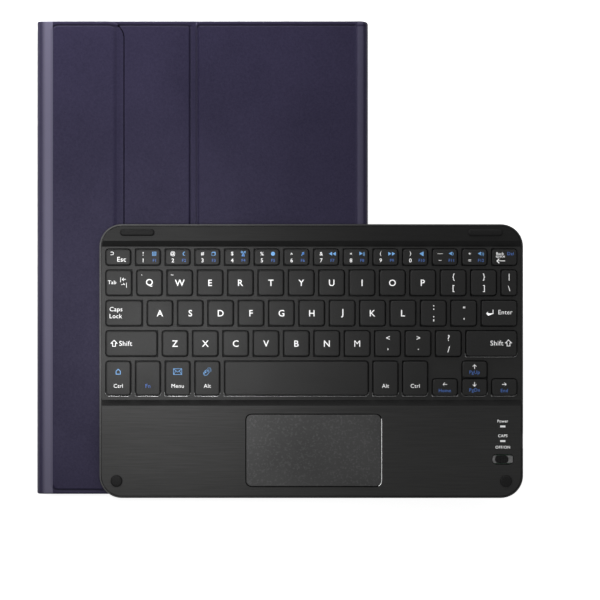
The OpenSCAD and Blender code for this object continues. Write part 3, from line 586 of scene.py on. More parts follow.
@dataclass
class Folio:
    """The leather folio: strip and spine, back cover, front panels and lining.

    A box is its lowest and highest x, then y. The camera window is a centre and a size, and
    the faces in its field are joined before it is cut, so that it lies in one face.
    """

    end_y: float = 132.5
    left_x: float = -92.8
    right_x: float = 92.8
    groove_x: float = -83.9
    crease_x: float = -4.7
    strip_x: float = -43.4
    strip_r: float = 9.4
    lip_x: float = 86.2
    top_z: float = 23.0
    panel_z: float = 21.8
    inner_z: float = 19.6
    lip_z: float = 3.0
    spine_r: float = 8.0
    press: float = 0.62
    skin_t: float = 0.6
    camera: Box = (67.4, 98.2, 14.4, 26.4)
    camera_r: float = 7.1
    camera_field: Box = (44.0, 84.5, 70.0, 123.0)
    tray_floor: float = 2.15
    panels: tuple[Box, ...] = ((-82.4, -7.2, -129.9, 129.9), (-3.3, 90.0, -129.9, 129.9))
    # Bands of painted highlight across the case, as start, full, hold, end and share: on the
    # spine's shoulder, beside the crease and on the rolled edge.
    highlight_bands: tuple[tuple[float, ...], ...] = (
        (-90.7, -87.7, -83.93, -83.91, 1.0), (-3.7, -3.5, -3.2, -2.9, 0.55),
        (86.4, 87.6, 89.6, 91.0, 0.34), (91.9, 92.4, 94.0, 95.0, 0.3))
    end_lines: tuple[float, ...] = (0.0, 0.12, 0.3, 0.55, 0.85, 1.2, 1.7, 2.1, 2.4, 2.65,
                                    2.9, 3.15, 3.4, 3.7, 4.2, 5.0, 6.0, 7.0, 8.2, 9.6, 12.0)

    def outline(self, free_x: float) -> Box:
        """Returns a skin's box: it ends at the free edge and passes the spine."""
        return (self.groove_x - 40, free_x, -self.end_y, self.end_y)

    def pressed(self, x: float, y: float, board: Box, r: float) -> float:
        """Returns the leather's height over a board's plateau: a pressed line round it.

        Args:
            x: place across the case.
            y: place along the spine.
            board: the board's box.
            r: radius of its corners.

        Returns:
            The height.
        """
        out = outline_depth(x, y, board, r)
        hem = 0.8 * ramp(out, 0.35, 1.0) if abs(y) > board[3] else -0.5 * ramp(out, 0.3, 3.5)
        return self.press * (hem - ramp(out, -0.5, 0.2))

    def wave(self, x: float, y: float) -> float:
        """Returns the slight unevenness of glued leather."""
        return 0.05 * noise.noise(Vector((x, y, 0.0)) / 23.0)

    def curl(self, depth: float, r: float) -> float:
        """Returns how far a folded edge drops at a depth inside its outline."""
        return r - math.sqrt(max(r * r - max(r - depth, 0.0) ** 2, 0.0))

    def wrap(self, name: str, free_x: float, corner_r: float, face_z: float, side: int,
             board: Box, edge_r: float) -> Form:
        """Builds a skin from a cover's free edge over its face and round the spine's shoulder.

        Args:
            name: name for the log.
            free_x: place of the free edge.
            corner_r: radius of the free corners.
            face_z: height of the face.
            side: 1 for the top of the case, -1 for its underside.
            board: box of the board under the skin.
            edge_r: radius of the folded edges.

        Returns:
            The open skin.
        """
        span = free_x - self.groove_x
        cover = [free_x - d for d in self.end_lines if d < span / 3]
        cover += [free_x - d for d in steps_between(12.0, span - 3.0, 9.0)]
        cover += [self.groove_x + d for d in (2.6, 2.1, 1.8, 1.5, 1.2, 0.9, 0.6, 0.3, 0.12)]
        path: list[tuple[float, ...]] = [(x, face_z, 0.0, side) for x in cover]
        path.append((self.groove_x - 0.05, face_z - side * 0.16, 0.0, side))
        lean = math.radians(11)
        for step in (0.35, 0.7, 1.5, 2.7, 3.9, 4.9):
            path.append((self.groove_x - 0.05 - step,
                         face_z - side * (0.16 + step * math.tan(lean)),
                         -math.sin(lean), side * math.cos(lean)))
        start_x, start_z = path[-1][0], path[-1][1]
        for degrees in range(18, 91, 6):
            a = math.radians(degrees)
            t = (math.sin(a) - math.sin(lean)) / (1 - math.sin(lean))
            drop = (math.cos(lean) - math.cos(a)) / math.cos(lean)
            path.append((start_x + (self.left_x - start_x) * t,
                         start_z + side * -(self.spine_r - 2.2) * drop,
                         -math.sin(a), side * math.cos(a)))
        path.append((self.left_x, self.top_z / 2, -1.0, 0.0))
        lines = [*self.end_lines, *steps_between(21.0, self.end_y, 11.0)]
        rows = [(-1, d) for d in lines] + [(1, d) for d in reversed(lines)]
        outline = self.outline(free_x)

        def place(column: int, row: int) -> Point:
            """Returns the skin's point on a line of the path and a row.

            Args:
                column: the line of the path.
                row: the row along the spine.

            Returns:
                The point.
            """
            x, z, nx, nz = path[column]
            half = self.end_y
            if x > free_x - corner_r:
                half -= corner_r - math.sqrt(corner_r ** 2 - (x - free_x + corner_r) ** 2)
            sign, d = rows[row]
            y = sign * max(half - d, 0.0)
            inside = -outline_depth(x, y, outline, corner_r)
            height = -self.curl(inside, edge_r)
            if x > self.groove_x + 0.1:
                height += self.pressed(x, y, board, min(corner_r, 3.2)) + self.wave(x, y)
            return (x + nx * height, y, z + nz * height)

        form = Form()
        form.grid(len(path), len(rows), place)
        LOG.info("skin %s, %d lines", name, len(path))
        return form

    def build_strip(self) -> None:
        """Makes the hinge strip and the upper half of the spine as one skin."""
        board = (self.groove_x - 0.2, -49.1, -129.9, 129.9)
        form = self.wrap("strip", self.strip_x, self.strip_r, self.top_z, 1, board, 0.95)
        outline = self.outline(self.strip_x)
        # Faces along the strip's free edge get the painted edge shade.
        for face in form.bm.faces:
            x, y, _ = face.calc_center_median()
            if outline_depth(x, y, outline, self.strip_r) > -0.95 and x > self.strip_x - 4.5:
                face.material_index = 1
        skin = form.piece("strip_skin", [LEATHER, PAINTED_EDGE_SHADE], "leather", 60.0)
        self.face_out(skin)
        self.paint_light_marks(skin, [board])
        thicken(skin, self.skin_t)
        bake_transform(skin)
        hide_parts("hinge_strip", "spine_leather")

    def paint_light_marks(self, skin: Piece, boards: Iterable[Box]) -> None:
        """Marks painted light on the leather: above 0 for painted highlights on the spine's
        shoulders, beside the crease and on the rolled edge, below 0 for painted shade in the
        pressed lines round the boards.

        Args:
            skin: the leather.
            boards: boxes of the boards under it.
        """
        painted_light = skin.data.attributes.new("painted_light", "FLOAT", "POINT")
        for vert, mark in zip(skin.data.vertices, painted_light.data):
            x, y, z = vert.co / MM
            value = 0.0
            for start, full, hold, end, share in self.highlight_bands:
                value += share * ramp(x, start, full) * (1 - ramp(x, hold, end))
            # The pressed lines round each board get painted shade, stronger at the board's
            # ends.
            for board in boards:
                out = outline_depth(x, y, board, 2.6)
                share = 0.62 if abs(y) > board[3] - 0.3 else 0.3
                value -= share * ramp(out, -0.4, 0.05) * (1 - ramp(out, 0.45, 0.9))
            mark.value = value * ramp(abs(z - self.top_z / 2), 6.0, 8.0)

    def face_out(self, skin: Piece) -> None:
        """Turns an open skin's faces away from the middle of the case.

        Args:
            skin: the skin.
        """
        middle = Vector((0.0, 0.0, self.top_z / 2 * MM))
        total = sum((f.center - middle).dot(f.normal) * f.area for f in skin.data.polygons)
        if total < 0:
            skin.data.flip_normals()

    def build_back(self) -> None:
        """Makes the back cover's skin and the lower half of the spine as one skin."""
        board = (self.groove_x - 0.2, 91.3, -129.5, 129.5)
        form = self.wrap("back", self.right_x, 2.0, 0.0, -1, board, 1.1)
        bm = form.bm
        free = [e for e in bm.edges if e.is_boundary
                and all(v.co.x > self.groove_x + 0.4 for v in e.verts)
                and all(v.co.z > 0.9 for v in e.verts)]
        for inset, z in ((0.15, 1.65), (0.55, 2.05), (1.1, 2.2), (1.9, 2.2)):
            _, free = form.extrude(free)
            for vert in {v for e in free for v in e.verts}:
                vert.co = self.inset_point(vert.co, self.outline(self.right_x), 2.0, inset, z)
            free = [e for e in free if e.is_boundary and abs(
                e.verts[0].co.z - e.verts[1].co.z) < 0.01]
        x0, x1, y0, y1 = self.camera_field
        field_faces = [f for f in bm.faces if all(
            abs(v.co.z) < 0.2 and x0 < v.co.x < x1 and y0 < v.co.y < y1 for v in f.verts)]
        bmesh.ops.dissolve_faces(bm, faces=field_faces, use_verts=True)
        window = form.window(*self.camera, self.camera_r, 8)
        LOG.info("camera window, %d sides", len(window.verts))
        rim = list(window.edges)
        bmesh.ops.delete(bm, geom=[window], context="FACES_ONLY")
        for vert in form.extrude(rim)[0]:
            vert.co.z = self.tray_floor
        skin = form.piece("back_skin", [LEATHER], "leather", 60.0)
        self.face_out(skin)
        self.paint_light_marks(skin, [board])
        thicken(skin, self.skin_t)
        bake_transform(skin)
        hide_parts("back_leather")

    def inset_point(self, co: Vector, box: Box, r: float, inset: float, z: float) -> Point:
        """Moves a point of an outline inward to an inset and a height.

        Args:
            co: the point.
            box: the outline's box.
            r: radius of its corners.
            inset: how far inside the outline.
            z: the new height.

        Returns:
            The new point.
        """
        x0, x1, y0, y1 = box
        core = Vector((min(max(co.x, x0 + r), x1 - r), min(max(co.y, y0 + r), y1 - r)))
        out = Vector((co.x, co.y)) - core
        if out.length > 1e-6:
            core += out.normalized() * (r - inset)
        return (core.x, core.y, z)

    def panel_height(self, x: float, y: float) -> float:
        """Returns the height of the front panels' leather over its plateau.

        Args:
            x: place across the case.
            y: place along the spine.

        Returns:
            The height.
        """
        inner, outer = (self.pressed(x, y, board, 2.2) for board in self.panels)
        if x < self.crease_x - 2.5:
            height = inner
        elif x > self.crease_x + 2.5:
            height = outer
        else:
            height = min(inner, outer)
        valley = ramp(x, -7.6, -5.6) * (1 - ramp(x, -3.55, -3.1))
        return height * (1 - valley) - 0.42 * valley + self.wave(x, y)

    def panel_section(self) -> list[tuple[float, float, float, float, bool]]:
        """Returns the front panels' section as x, z, outward normal and whether it is top."""
        left = self.groove_x + 0.15
        top = [left, -83.2, -82.7, -82.4, -82.0, -81.4, *steps_between(-80.0, -9.0, 8.0),
               -8.6, -8.0, *steps_between(-7.6, -4.0, 0.3), *steps_between(-4.0, -2.8, 0.15),
               -2.8, -2.4, -1.9, -1.2, -0.4,
               *steps_between(1.0, 84.0, 8.0), 84.6, 85.3, 85.8]
        section = [(x, self.panel_z, 0.0, 1.0, True) for x in top]
        crest, foot = 89.5, 1.0
        turns = (
            (crest, self.panel_z, crest - self.lip_x, self.top_z - self.panel_z, 180, 90),
            (crest, 18.6, self.right_x - crest, self.top_z - 18.6, 90, 0),
            (self.right_x - foot, self.lip_z + foot, foot, foot, 0, -90),
            (self.lip_x + foot, self.lip_z + foot, foot, foot, -90, -180),
        )
        section.append((self.lip_x + 0.05, self.panel_z + 0.1, -0.7, 0.7, False))
        for cx, cz, rx, rz, start, end in turns:
            count = max(4, round((rx + rz) * 2))
            for i in range(count + 1):
                a = math.radians(start + (end - start) * i / count)
                x, z = cx + rx * math.cos(a), cz + rz * math.sin(a)
                if start == 180 and z < self.panel_z + 0.2 or i == 0 and start == 90:
                    continue
                lean = Vector((math.cos(a) / rx, math.sin(a) / rz)).normalized()
                section.append((x, z, lean.x, lean.y, False))
        section += [(self.lip_x, self.inner_z, -0.7, -0.7, False)]
        section += [(x, self.inner_z, 0.0, -1.0, False)
                    for x in (85.0, -2.2, *steps_between(-3.1, -6.4, 0.3), -6.4, -7.2, -82.4)]
        section.append((left, self.inner_z, 0.0, -1.0, False))
        return section

    def build_panels(self) -> None:
        """Makes the front panels' leather with the crease and the rolled edge."""
        section = self.panel_section()
        edge_r = 1.05
        flat = [self.end_y - d for d in self.end_lines if d > edge_r]
        ends = [(self.end_y - edge_r + edge_r * math.sin(math.radians(a)),
                 edge_r - edge_r * math.cos(math.radians(a))) for a in (90, 70, 50, 32, 16)]
        half = ends + [(y, 0.0) for y in flat] + [(y, 0.0) for y in
                                                 steps_between(111.0, 0.0, 12.0)]
        stations = [(-y, s) for y, s in half] + [(y, s) for y, s in reversed(half)]

        def ring(y: float, shrink: float) -> Ring:
            """Returns the section at a place along the spine.

            Args:
                y: the place.
                shrink: how far the end's round draws it in.

            Returns:
                The section's points.
            """
            points = []
            corner = max(abs(y) - (self.end_y - 2.0), 0.0)
            pull = 2.0 - math.sqrt(max(4.0 - corner ** 2, 0.0))
            for x, z, nx, nz, is_top in section:
                height = self.panel_height(x, y) * (1 - shrink / edge_r) if is_top else 0.0
                reach = pull * ramp(x, 80.0, self.right_x)
                points.append((x - nx * shrink - reach, y, z + height - nz * shrink))
            return points

        form = Form()
        form.loft([ring(y, s) for y, s in stations])
        bmesh.ops.triangulate(form.bm, faces=[f for f in form.bm.faces if len(f.verts) > 4],
                              ngon_method="EAR_CLIP")
        under = [f for f in form.bm.faces if all(
            v.co.z < self.inner_z + 0.1 and abs(v.co.y) < 129.4 and v.co.x < self.lip_x - 0.5
            for v in f.verts) and not -7.0 < f.calc_center_bounds().x < -2.4]
        bmesh.ops.recalc_face_normals(form.bm, faces=form.bm.faces)
        bmesh.ops.delete(form.bm, geom=under, context="FACES")
        skin = form.piece("panel_skin", [LEATHER], "leather", 60.0, outward=False)
        self.paint_light_marks(skin, [self.panels[0], (-3.3, 96.0, -129.9, 129.9)])
        thicken(skin, 0.5)
        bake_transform(skin)
        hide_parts("front_leather", "fold_leather")

    def build_lining(self) -> None:
        """Makes the front cover's lining as one sheet across the crease."""
        half = self.end_y - 1.5
        xs = [self.groove_x + 0.15, *steps_between(-80.0, -9.0, 12.0),
              *steps_between(-8.0, -1.4, 0.3), *steps_between(-1.0, 85.0, 12.0),
              self.lip_x - 0.15]
        ys = [-half, *steps_between(-120.0, 120.0, 15.0), 120.0, half]
        form = Form()
        form.grid(len(xs), len(ys), lambda i, j: (xs[i], ys[j], self.inner_z - 0.42))
        sheet = form.piece("panel_lining", [LINING], "lining", 60.0)
        for face in sheet.data.polygons[:1]:
            if face.normal.z > 0:
                sheet.data.flip_normals()
        thicken(sheet, 0.38)
        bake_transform(sheet)
        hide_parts("front_lining", "fold_lining")

    def build(self) -> None:
        """Builds the folio's soft pieces and dresses its boards, magnets and tray."""
        self.build_strip()
        self.build_back()
        self.build_panels()
        self.build_lining()
        for node in ("front_board", "strip_board", "fold_board", "back_board"):
            dress(node, FIBRE)
        for node in ("edge_magnets", "cover_magnets", "latch_strip"):
            dress(node, STEEL)
        dress("edge_bar", TRAY)
        dress("spine_board", LINING)
        dress("back_lining", LINING)
        soften(dress("tablet_tray", TRAY), 0.25, merge=True)


class Ink(Enum):
    """Colour of a printed legend, as an index of a keycap's finishes."""

    WHITE = 1
    BLUE = 2
    SKY = 3


@dataclass(frozen=True)
class Legend:
    """A printed mark.

    Args:
        text: its characters.
        x: centre to the right of the key's centre.
        y: centre beyond the key's centre.
        size: type size.
        ink: its ink.
        bold: how far the strokes are thickened.
    """

    text: str
    x: float = 0.0
    y: float = 0.0
    size: float = 5.1
    ink: Ink = Ink.WHITE
    bold: float = 0.06

    def print_on(self, form: Form, x: float, y: float, z: float) -> None:
        """Lays the mark's mesh on a form about a centre.

        Args:
            form: the form.
            x: the centre's x.
            y: the centre's y.
            z: the surface's height.
        """
        curve = bpy.data.curves.new("type", "FONT")
        curve.body = self.text
        curve.size = self.size
        curve.align_x = "LEFT"
        curve.offset = self.bold
        curve.space_character = 1.06 if self.size < 4 else 1.0
        curve.extrude = 0.02
        curve.resolution_u = 3
        holder = link(bpy.data.objects.new("type", curve))
        graph = bpy.context.evaluated_depsgraph_get()
        mesh = bpy.data.meshes.new_from_object(holder.evaluated_get(graph))
        xs = [v.co.x for v in mesh.vertices]
        ys = [v.co.y for v in mesh.vertices]
        centre = Vector(((min(xs) + max(xs)) / 2, (min(ys) + max(ys)) / 2, 0.0))
        target = Vector((x + self.x, y + self.y, z + 0.02))
        form.add_mesh(mesh, Matrix.Translation(target - centre), self.ink.value)
        bpy.data.objects.remove(holder)
        bpy.data.curves.remove(curve)
        bpy.data.meshes.remove(mesh)


def pair(top: str, bottom: str, x: float = 0.2, y: float = 3.2,
         size: float = 4.2) -> tuple[Legend, ...]:
    """Returns two marks, one over the other."""
    return (Legend(top, x, y, size, bold=0.02), Legend(bottom, x, -y, size, bold=0.03))


def number_legends(top: str, bottom: str, icon: str, place: int) -> tuple[Legend, ...]:
    """Returns the marks of a number key: two in white, an icon and a function in blue."""
    icon_size = 2.9 if len(icon) == 1 else 2.2
    return (Legend(top, -2.7, 1.9, 2.9, bold=0.015), Legend(bottom, -2.7, -1.8, 3.1, bold=0.02),
            Legend(icon, 3.5, 1.9, icon_size, Ink.SKY, 0.03),
            Legend(f"F{place}", 3.6, -1.8, 2.3, Ink.BLUE, 0.01))


@dataclass(frozen=True)
class Key:
    """A keycap: its front left corner and size on the keyboard, and its legends."""

    x: float
    y: float
    w: float
    l: float
    legends: tuple[Legend, ...] = ()


@dataclass
class Keyboard:
    """The keyboard: housing, keycaps with their legends, touchpad, lights and bumpers.

    The pad and the switch are a centre and a size on the keyboard. The seams are lines cut
    across the housing so that each opening lies in a face of its own.
    """

    x: float = 61.0
    y: float = -58.0
    z: float = 23.05
    w: float = 237.2
    l: float = 153.35
    corner_r: float = 12.5
    inset: float = 1.3
    base_t: float = 1.0
    housing_h: float = 5.0
    deck_h: float = 3.6
    key_top: float = 5.9
    key_h: float = 2.7
    palm_y: float = -24.975
    bar_y: float = 67.375
    step: float = 3.3
    block_w: float = 229.7
    gap: float = 2.95
    pitch: float = 17.0
    letter_l: float = 14.05
    number_l: float = 8.8
    space_l: float = 19.0
    arrow_gap: float = 0.9
    key_r: float = 1.5
    fit: float = 0.55
    pad: Box = (1.3, -50.0, 75.2, 40.0)
    pad_r: float = 3.0
    switch: Box = (107.2, -54.975, 11.5, 5.3)
    lights: tuple[float, ...] = (-36.575, -44.775)
    seams: tuple[float, ...] = (-73.0, -27.5, -20.3, 1.3, 18.3, 35.3, 52.3, 63.35)
    row_y: dict[str, float] = field(default_factory=lambda: {
        "number": 53.775, "upper": 36.775, "home": 19.775, "lower": 2.775, "space": -19.175})

    def slot(self, index: int, row: str, length: float, legends: tuple[Legend, ...] = (),
             span: int = 1, up: float = 0.0) -> Key:
        """Returns a key of the evenly divided rows.

        Args:
            index: its place in the row.
            row: the row's name.
            length: its length along y.
            legends: its marks.
            span: how many places it takes.
            up: how far up from the row's front.

        Returns:
            The key.
        """
        width = (self.block_w - 13 * self.gap) / 14
        x = -self.block_w / 2 + index * (width + self.gap)
        return Key(x, self.row_y[row] + up, span * width + (span - 1) * self.gap, length,
                   legends)

    def letters(self, row: str, first_w: float,
                legends: list[tuple[Legend, ...]]) -> list[Key]:
        """Returns a letter row: a wide first key, keys at the pitch and what is left.

        Args:
            row: the row's name.
            first_w: width of its first key.
            legends: the marks of each key.

        Returns:
            The keys, from left to right.
        """
        y, left = self.row_y[row], -self.block_w / 2
        keys = [Key(left, y, first_w, self.letter_l, legends[0])]
        for i, marks in enumerate(legends[1:-1]):
            x = left + first_w + self.gap + i * self.pitch
            keys.append(Key(x, y, self.pitch - self.gap, self.letter_l, marks))
        x = left + first_w + self.gap + (len(legends) - 2) * self.pitch
        keys.append(Key(x, y, self.block_w / 2 - x, self.letter_l, legends[-1]))
        return keys

    def layout(self) -> dict[str, list[Key]]:
        """Returns the keys of each CAD node."""
        def plain(text: str) -> list[tuple[Legend, ...]]:
            """Returns the marks of the plain letter keys."""
            return [(Legend(c, bold=0.0 if c in "MW" else 0.05),) for c in text]

        numbers = [number_legends(*row) for row in (
            ("!", "1", "▤", 1), ("@", "2", "☾", 2), ("#", "3", "❐", 3), ("$", "4", "✂", 4),
            ("%", "5", "●", 5), ("^", "6", "♫", 6), ("&", "7", "◀◀", 7), ("*", "8", "▶||", 8),
            ("(", "9", "▶▶", 9), (")", "0", "◀", 10), ("—", "–", "◀)", 11),
            ("+", "=", "◀))", 12))]
        number = [self.slot(i + 1, "number", self.number_l, marks)
                  for i, marks in enumerate(numbers)]
        escape = (Legend("Esc", 1.9, -1.2, 3.8, bold=0.01),
                  Legend("⊃", -3.4, 2.1, 3.0, bold=0.03))
        back = (Legend("Back", -2.3, 2.0, 2.2, bold=0.01),
                Legend("space", -2.2, 0.1, 2.2, bold=0.01), Legend("⟵", -2.0, -2.1, 4.2),
                Legend("Del", 3.5, 2.0, 2.6, Ink.BLUE, 0.0))
        tab = (Legend("Tab", -3.8, 0.3, 3.0, bold=0.0),
               Legend("|←", 2.4, 1.7, 2.9, bold=0.03),
               Legend("→|", 2.9, -1.3, 2.9, bold=0.03))
        quote = (Legend("`", -4.3, 4.4, 3.2, bold=0.03), Legend("Q"))
        tilde = (Legend("~", -4.3, 4.4, 2.6, bold=0.03), Legend("W"))
        upper = self.letters("upper", 14.3, [
            tab, quote, tilde, *plain("ERTYUIOP"), pair("{", "["), pair("}", "]"),
            pair("|", "\\", 0.1)])
        caps = (Legend("Caps", -4.5, 1.9, 3.5, bold=0.0),
                Legend("Lock", -4.6, -1.6, 3.5, bold=0.0))
        enter = (Legend("↵", -5.2, 0.3, 5.2, bold=0.0),
                 Legend("Enter", 3.6, 0.6, 3.5, bold=0.0))
        home = self.letters("home", 20.2, [caps, *plain("ASDFGHJKL"), pair(":", ";", size=5.4),
                                           pair("\"", "'"), enter])
        left = (Legend("⇧", -9.8, 0.2, 4.8, bold=0.02),
                Legend("Shift", -3.3, 0.1, 3.9, bold=0.0))
        right = (Legend("Shift", 3.1, 0.3, 3.9, bold=0.0),
                 Legend("⇧", 9.6, 0.4, 4.8, bold=0.02))
        lower = self.letters("lower", 28.6, [left, *plain("ZXCVBNM"), pair("<", ","),
                                             pair(">", "."), pair("?", "/", size=4.8), right])
        half = (self.space_l - self.arrow_gap) / 2

        def modifier(text: str, ink: Ink = Ink.WHITE, icon: str = "",
                     size: float = 4.4) -> tuple[Legend, ...]:
            """Returns the marks of a key of the front row."""
            mark = (Legend(text, 0.0, -4.2, 3.1, ink, 0.0),)
            return mark + ((Legend(icon, 0.0, 3.8, size, Ink.SKY, 0.03),) if icon else ())

        def arrow(sign: str, word: str) -> tuple[Legend, ...]:
            """Returns the marks of an arrow key."""
            return (Legend(sign, 0.0, 1.6, 3.4, bold=0.02),
                    Legend(word, 0.0, -1.8, 2.7, Ink.BLUE, 0.0))

        keys = {}
        keys["key_escape"] = [self.slot(0, "number", self.number_l, escape)]
        keys["keys_number_left"], keys["keys_number_right"] = number[:6], number[6:]
        keys["key_backspace"] = [self.slot(13, "number", self.number_l, back)]
        for name, row in (("upper", upper), ("home", home), ("lower", lower)):
            split = 7 if name == "upper" else 6
            keys[f"keys_{name}_left"] = row[1:split]
            keys[f"keys_{name}_right"] = row[split:-1]
        keys["key_tab"], keys["key_backslash"] = [upper[0]], [upper[-1]]
        keys["key_caps_lock"], keys["key_enter"] = [home[0]], [home[-1]]
        keys["key_shift_left"], keys["key_shift_right"] = [lower[0]], [lower[-1]]
        for name, place, marks in (
                ("control_left", 0, modifier("Ctrl", icon="⌂")),
                ("fn", 1, modifier("Fn", Ink.BLUE)), ("menu", 2, modifier("Menu", icon="✉")),
                ("alt_left", 3, modifier("Alt", icon="🔗")), ("space", 4, ()),
                ("alt_right", 9, modifier("Alt")), ("control_right", 10, modifier("Ctrl"))):
            keys[f"key_{name}"] = [self.slot(place, "space", self.space_l, marks,
                                             1 if marks else 5)]
        for name, place, sign, word in (("left", 11, "←", "Home"), ("down", 12, "↓", "PgDn"),
                                        ("up", 12, "↑", "PgUp"), ("right", 13, "→", "End")):
            up = half + self.arrow_gap if name == "up" else 0.0
            keys[f"key_arrow_{name}"] = [self.slot(place, "space", half, arrow(sign, word),
                                                   up=up)]
        return keys

    def cap(self, form: Form, key: Key) -> None:
        """Lofts a hollow keycap with a round top edge.

        Args:
            form: the form that takes it.
            key: the key.
        """
        x0, y0 = self.x + key.x, self.y + key.y
        box, top = (x0, x0 + key.w, y0, y0 + key.l), self.z + self.key_top
        form.loft([rounded(box, inset, max(self.key_r - inset * 0.7, 0.4), top - drop)
                   for inset, drop in (
                       (0.85, 0.9), (0.8, self.key_h - 0.05), (0.0, self.key_h), (0.06, 0.52),
                       (0.1, 0.32), (0.18, 0.16), (0.32, 0.06), (0.5, 0.02), (0.9, 0.0))])

    def build_keys(self) -> None:
        """Makes the keycaps of each key node, with their legends."""
        for node, keys in self.layout().items():
            form = Form()
            for key in keys:
                self.cap(form, key)
                for legend in key.legends:
                    legend.print_on(form, self.x + key.x + key.w / 2,
                                    self.y + key.y + key.l / 2, self.z + self.key_top)
            caps = form.piece(f"{node}_cap", [KEYCAP, WHITE_INK, BLUE_INK, SKY_INK],
                              "keycap")
            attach(caps, node)
            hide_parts(node)

    def holes(self) -> list[Box]:
        """Returns the centre and size of each key's hole."""
        keys = [k for ks in self.layout().values() for k in ks]
        found = [(k.x + k.w / 2, k.y + k.l / 2, k.w + 2 * self.fit, k.l + 2 * self.fit)
                 for k in keys]
        column = [h for h in found if abs(h[0] - (keys[-2].x + keys[-2].w / 2)) < 0.1
                  and h[1] < 0]
        for h in column:
            found.remove(h)
        x, w = column[0][0], column[0][2]
        y0 = self.row_y["space"]
        found.insert(0, (x, y0 + self.space_l / 2, w, self.space_l + 2 * self.fit))
        return found

    def is_painted_glint(self, is_pad: bool, middle: Vector, side: Vector) -> bool:
        """Returns whether a face round an opening gets the painted glint, a bright edge that
        stands for light caught there.

        Args:
            is_pad: whether it is the touchpad's opening.
            middle: the opening's centre.
            side: the face's centre.

        Returns:
            Whether it gets the painted glint.
        """
        if is_pad:
            return side.x > middle.x + self.pad[2] / 2 - 1.0 and side.y < middle.y + 18.0
        front_row = middle.y < self.row_y["space"] + self.space_l
        shift = abs(middle.y - self.row_y["lower"] - self.letter_l / 2) < 1 and middle.x > 80
        on_keys = middle.y > self.palm_y + self.step and (front_row or shift)
        return on_keys and side.y < middle.y - 4.0

    def build_housing(self) -> None:
        """Makes the moulded top: palm rest, sloped deck with a hole for each key, and bar."""
        finishes = [HOUSING, DECK, PAINTED_GAP_SHADE, PAINTED_GLINT, PAINTED_SLOPE_SHADE, PAINTED_BAR_SHADE]
        form = Form()
        bm = form.bm
        w, l = self.w - 2 * self.inset, self.l - 2 * self.inset
        made = bmesh.ops.create_grid(bm, x_segments=1, y_segments=1, size=0.5)
        bmesh.ops.scale(bm, vec=(w, l, 1), verts=made["verts"])
        r = self.corner_r - self.inset
        bmesh.ops.bevel(bm, geom=bm.verts[:], offset=r, segments=12, profile=0.5,
                        affect="VERTICES", material=-1)
        slopes = (self.palm_y, self.palm_y + self.step, self.bar_y - self.step, self.bar_y)
        for y in (*slopes, *self.seams):
            form.cut(bm.faces[:], 1, y)
        gone = [form.window(x, y, hw, hl, self.key_r + self.fit)
                for x, y, hw, hl in self.holes()]
        px, py, pw, pl = self.pad
        pad = form.window(px + 0.05, py, pw + 1.3, pl + 1.1, self.pad_r + 0.6, 6)
        sx, sy, sw, sl = self.switch
        slot = form.window(sx, sy, sw + 0.6, sl + 0.6, 2.4, 6)
        gone += [form.window(sx, y, 3.1, 1.2, 0.2, 2) for y in self.lights]
        gone = [(face, 0.16, 0.12) for face in gone] + [(pad, 0.42, 0.3), (slot, 0.25, 0.2)]
        for face, reach, depth in gone:
            middle = face.calc_center_bounds()
            ring = bmesh.ops.inset_individual(bm, faces=[face], thickness=reach, depth=0.0)
            # Each opening's chamfer ring gets painted shade, and a painted glint on the sides
            # where light catches the edge.
            for side in ring["faces"]:
                bright = self.is_painted_glint(face is pad, middle, side.calc_center_median())
                side.material_index = finishes.index(PAINTED_GLINT if bright else PAINTED_GAP_SHADE)
            for vert in face.verts:
                vert.co.z -= depth
        bmesh.ops.delete(bm, geom=[face for face, *_ in gone], context="FACES_ONLY")
        for vert in bm.verts:
            rise = 1 - ramp_line(vert.co.y, slopes[0], slopes[1]) + ramp_line(
                vert.co.y, slopes[2], slopes[3])
            vert.co.z += self.deck_h + (self.housing_h - self.deck_h) * rise
        box = about(0.0, 0.0, w, l)
        edge = [e for e in bm.edges if e.is_boundary and all(
            abs(outline_depth(v.co.x, v.co.y, box, r)) < 0.02 for v in e.verts)]
        for vert in form.extrude(edge)[0]:
            vert.co.z = self.base_t
        lines = [e for e in bm.edges if not e.is_boundary and any(
            all(abs(v.co.y - y) < 0.01 for v in e.verts) for y in slopes)]
        bmesh.ops.bevel(bm, geom=[e for e in edge if e.is_valid] + lines, offset=0.55,
                        segments=3, profile=0.5, affect="EDGES", material=-1,
                        clamp_overlap=True)
        bmesh.ops.translate(bm, vec=(self.x, self.y, self.z), verts=bm.verts)
        # Flat faces on the slopes get the painted slope shade, those on the top bar the painted
        # bar shade.
        for face in bm.faces:
            place = face.calc_center_median().y - self.y
            if face.material_index == 0 and abs(face.normal.z) > 0.5:
                on_step = slopes[0] < place < slopes[1] or slopes[2] < place < slopes[3]
                is_deck = slopes[1] <= place <= slopes[2]
                level = PAINTED_BAR_SHADE if place >= slopes[3] else HOUSING
                face.material_index = finishes.index(
                    PAINTED_SLOPE_SHADE if on_step else DECK if is_deck else level)
        shell = form.piece("housing_top", finishes, "housing_plastic", 40.0)
        if sum(f.normal.z * f.area for f in shell.data.polygons) < 0:
            shell.data.flip_normals()
        thicken(shell, 1.0)
        soften(shell, 0.1, 1, 60.0)
        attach(shell, "keyboard")
        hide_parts("housing")

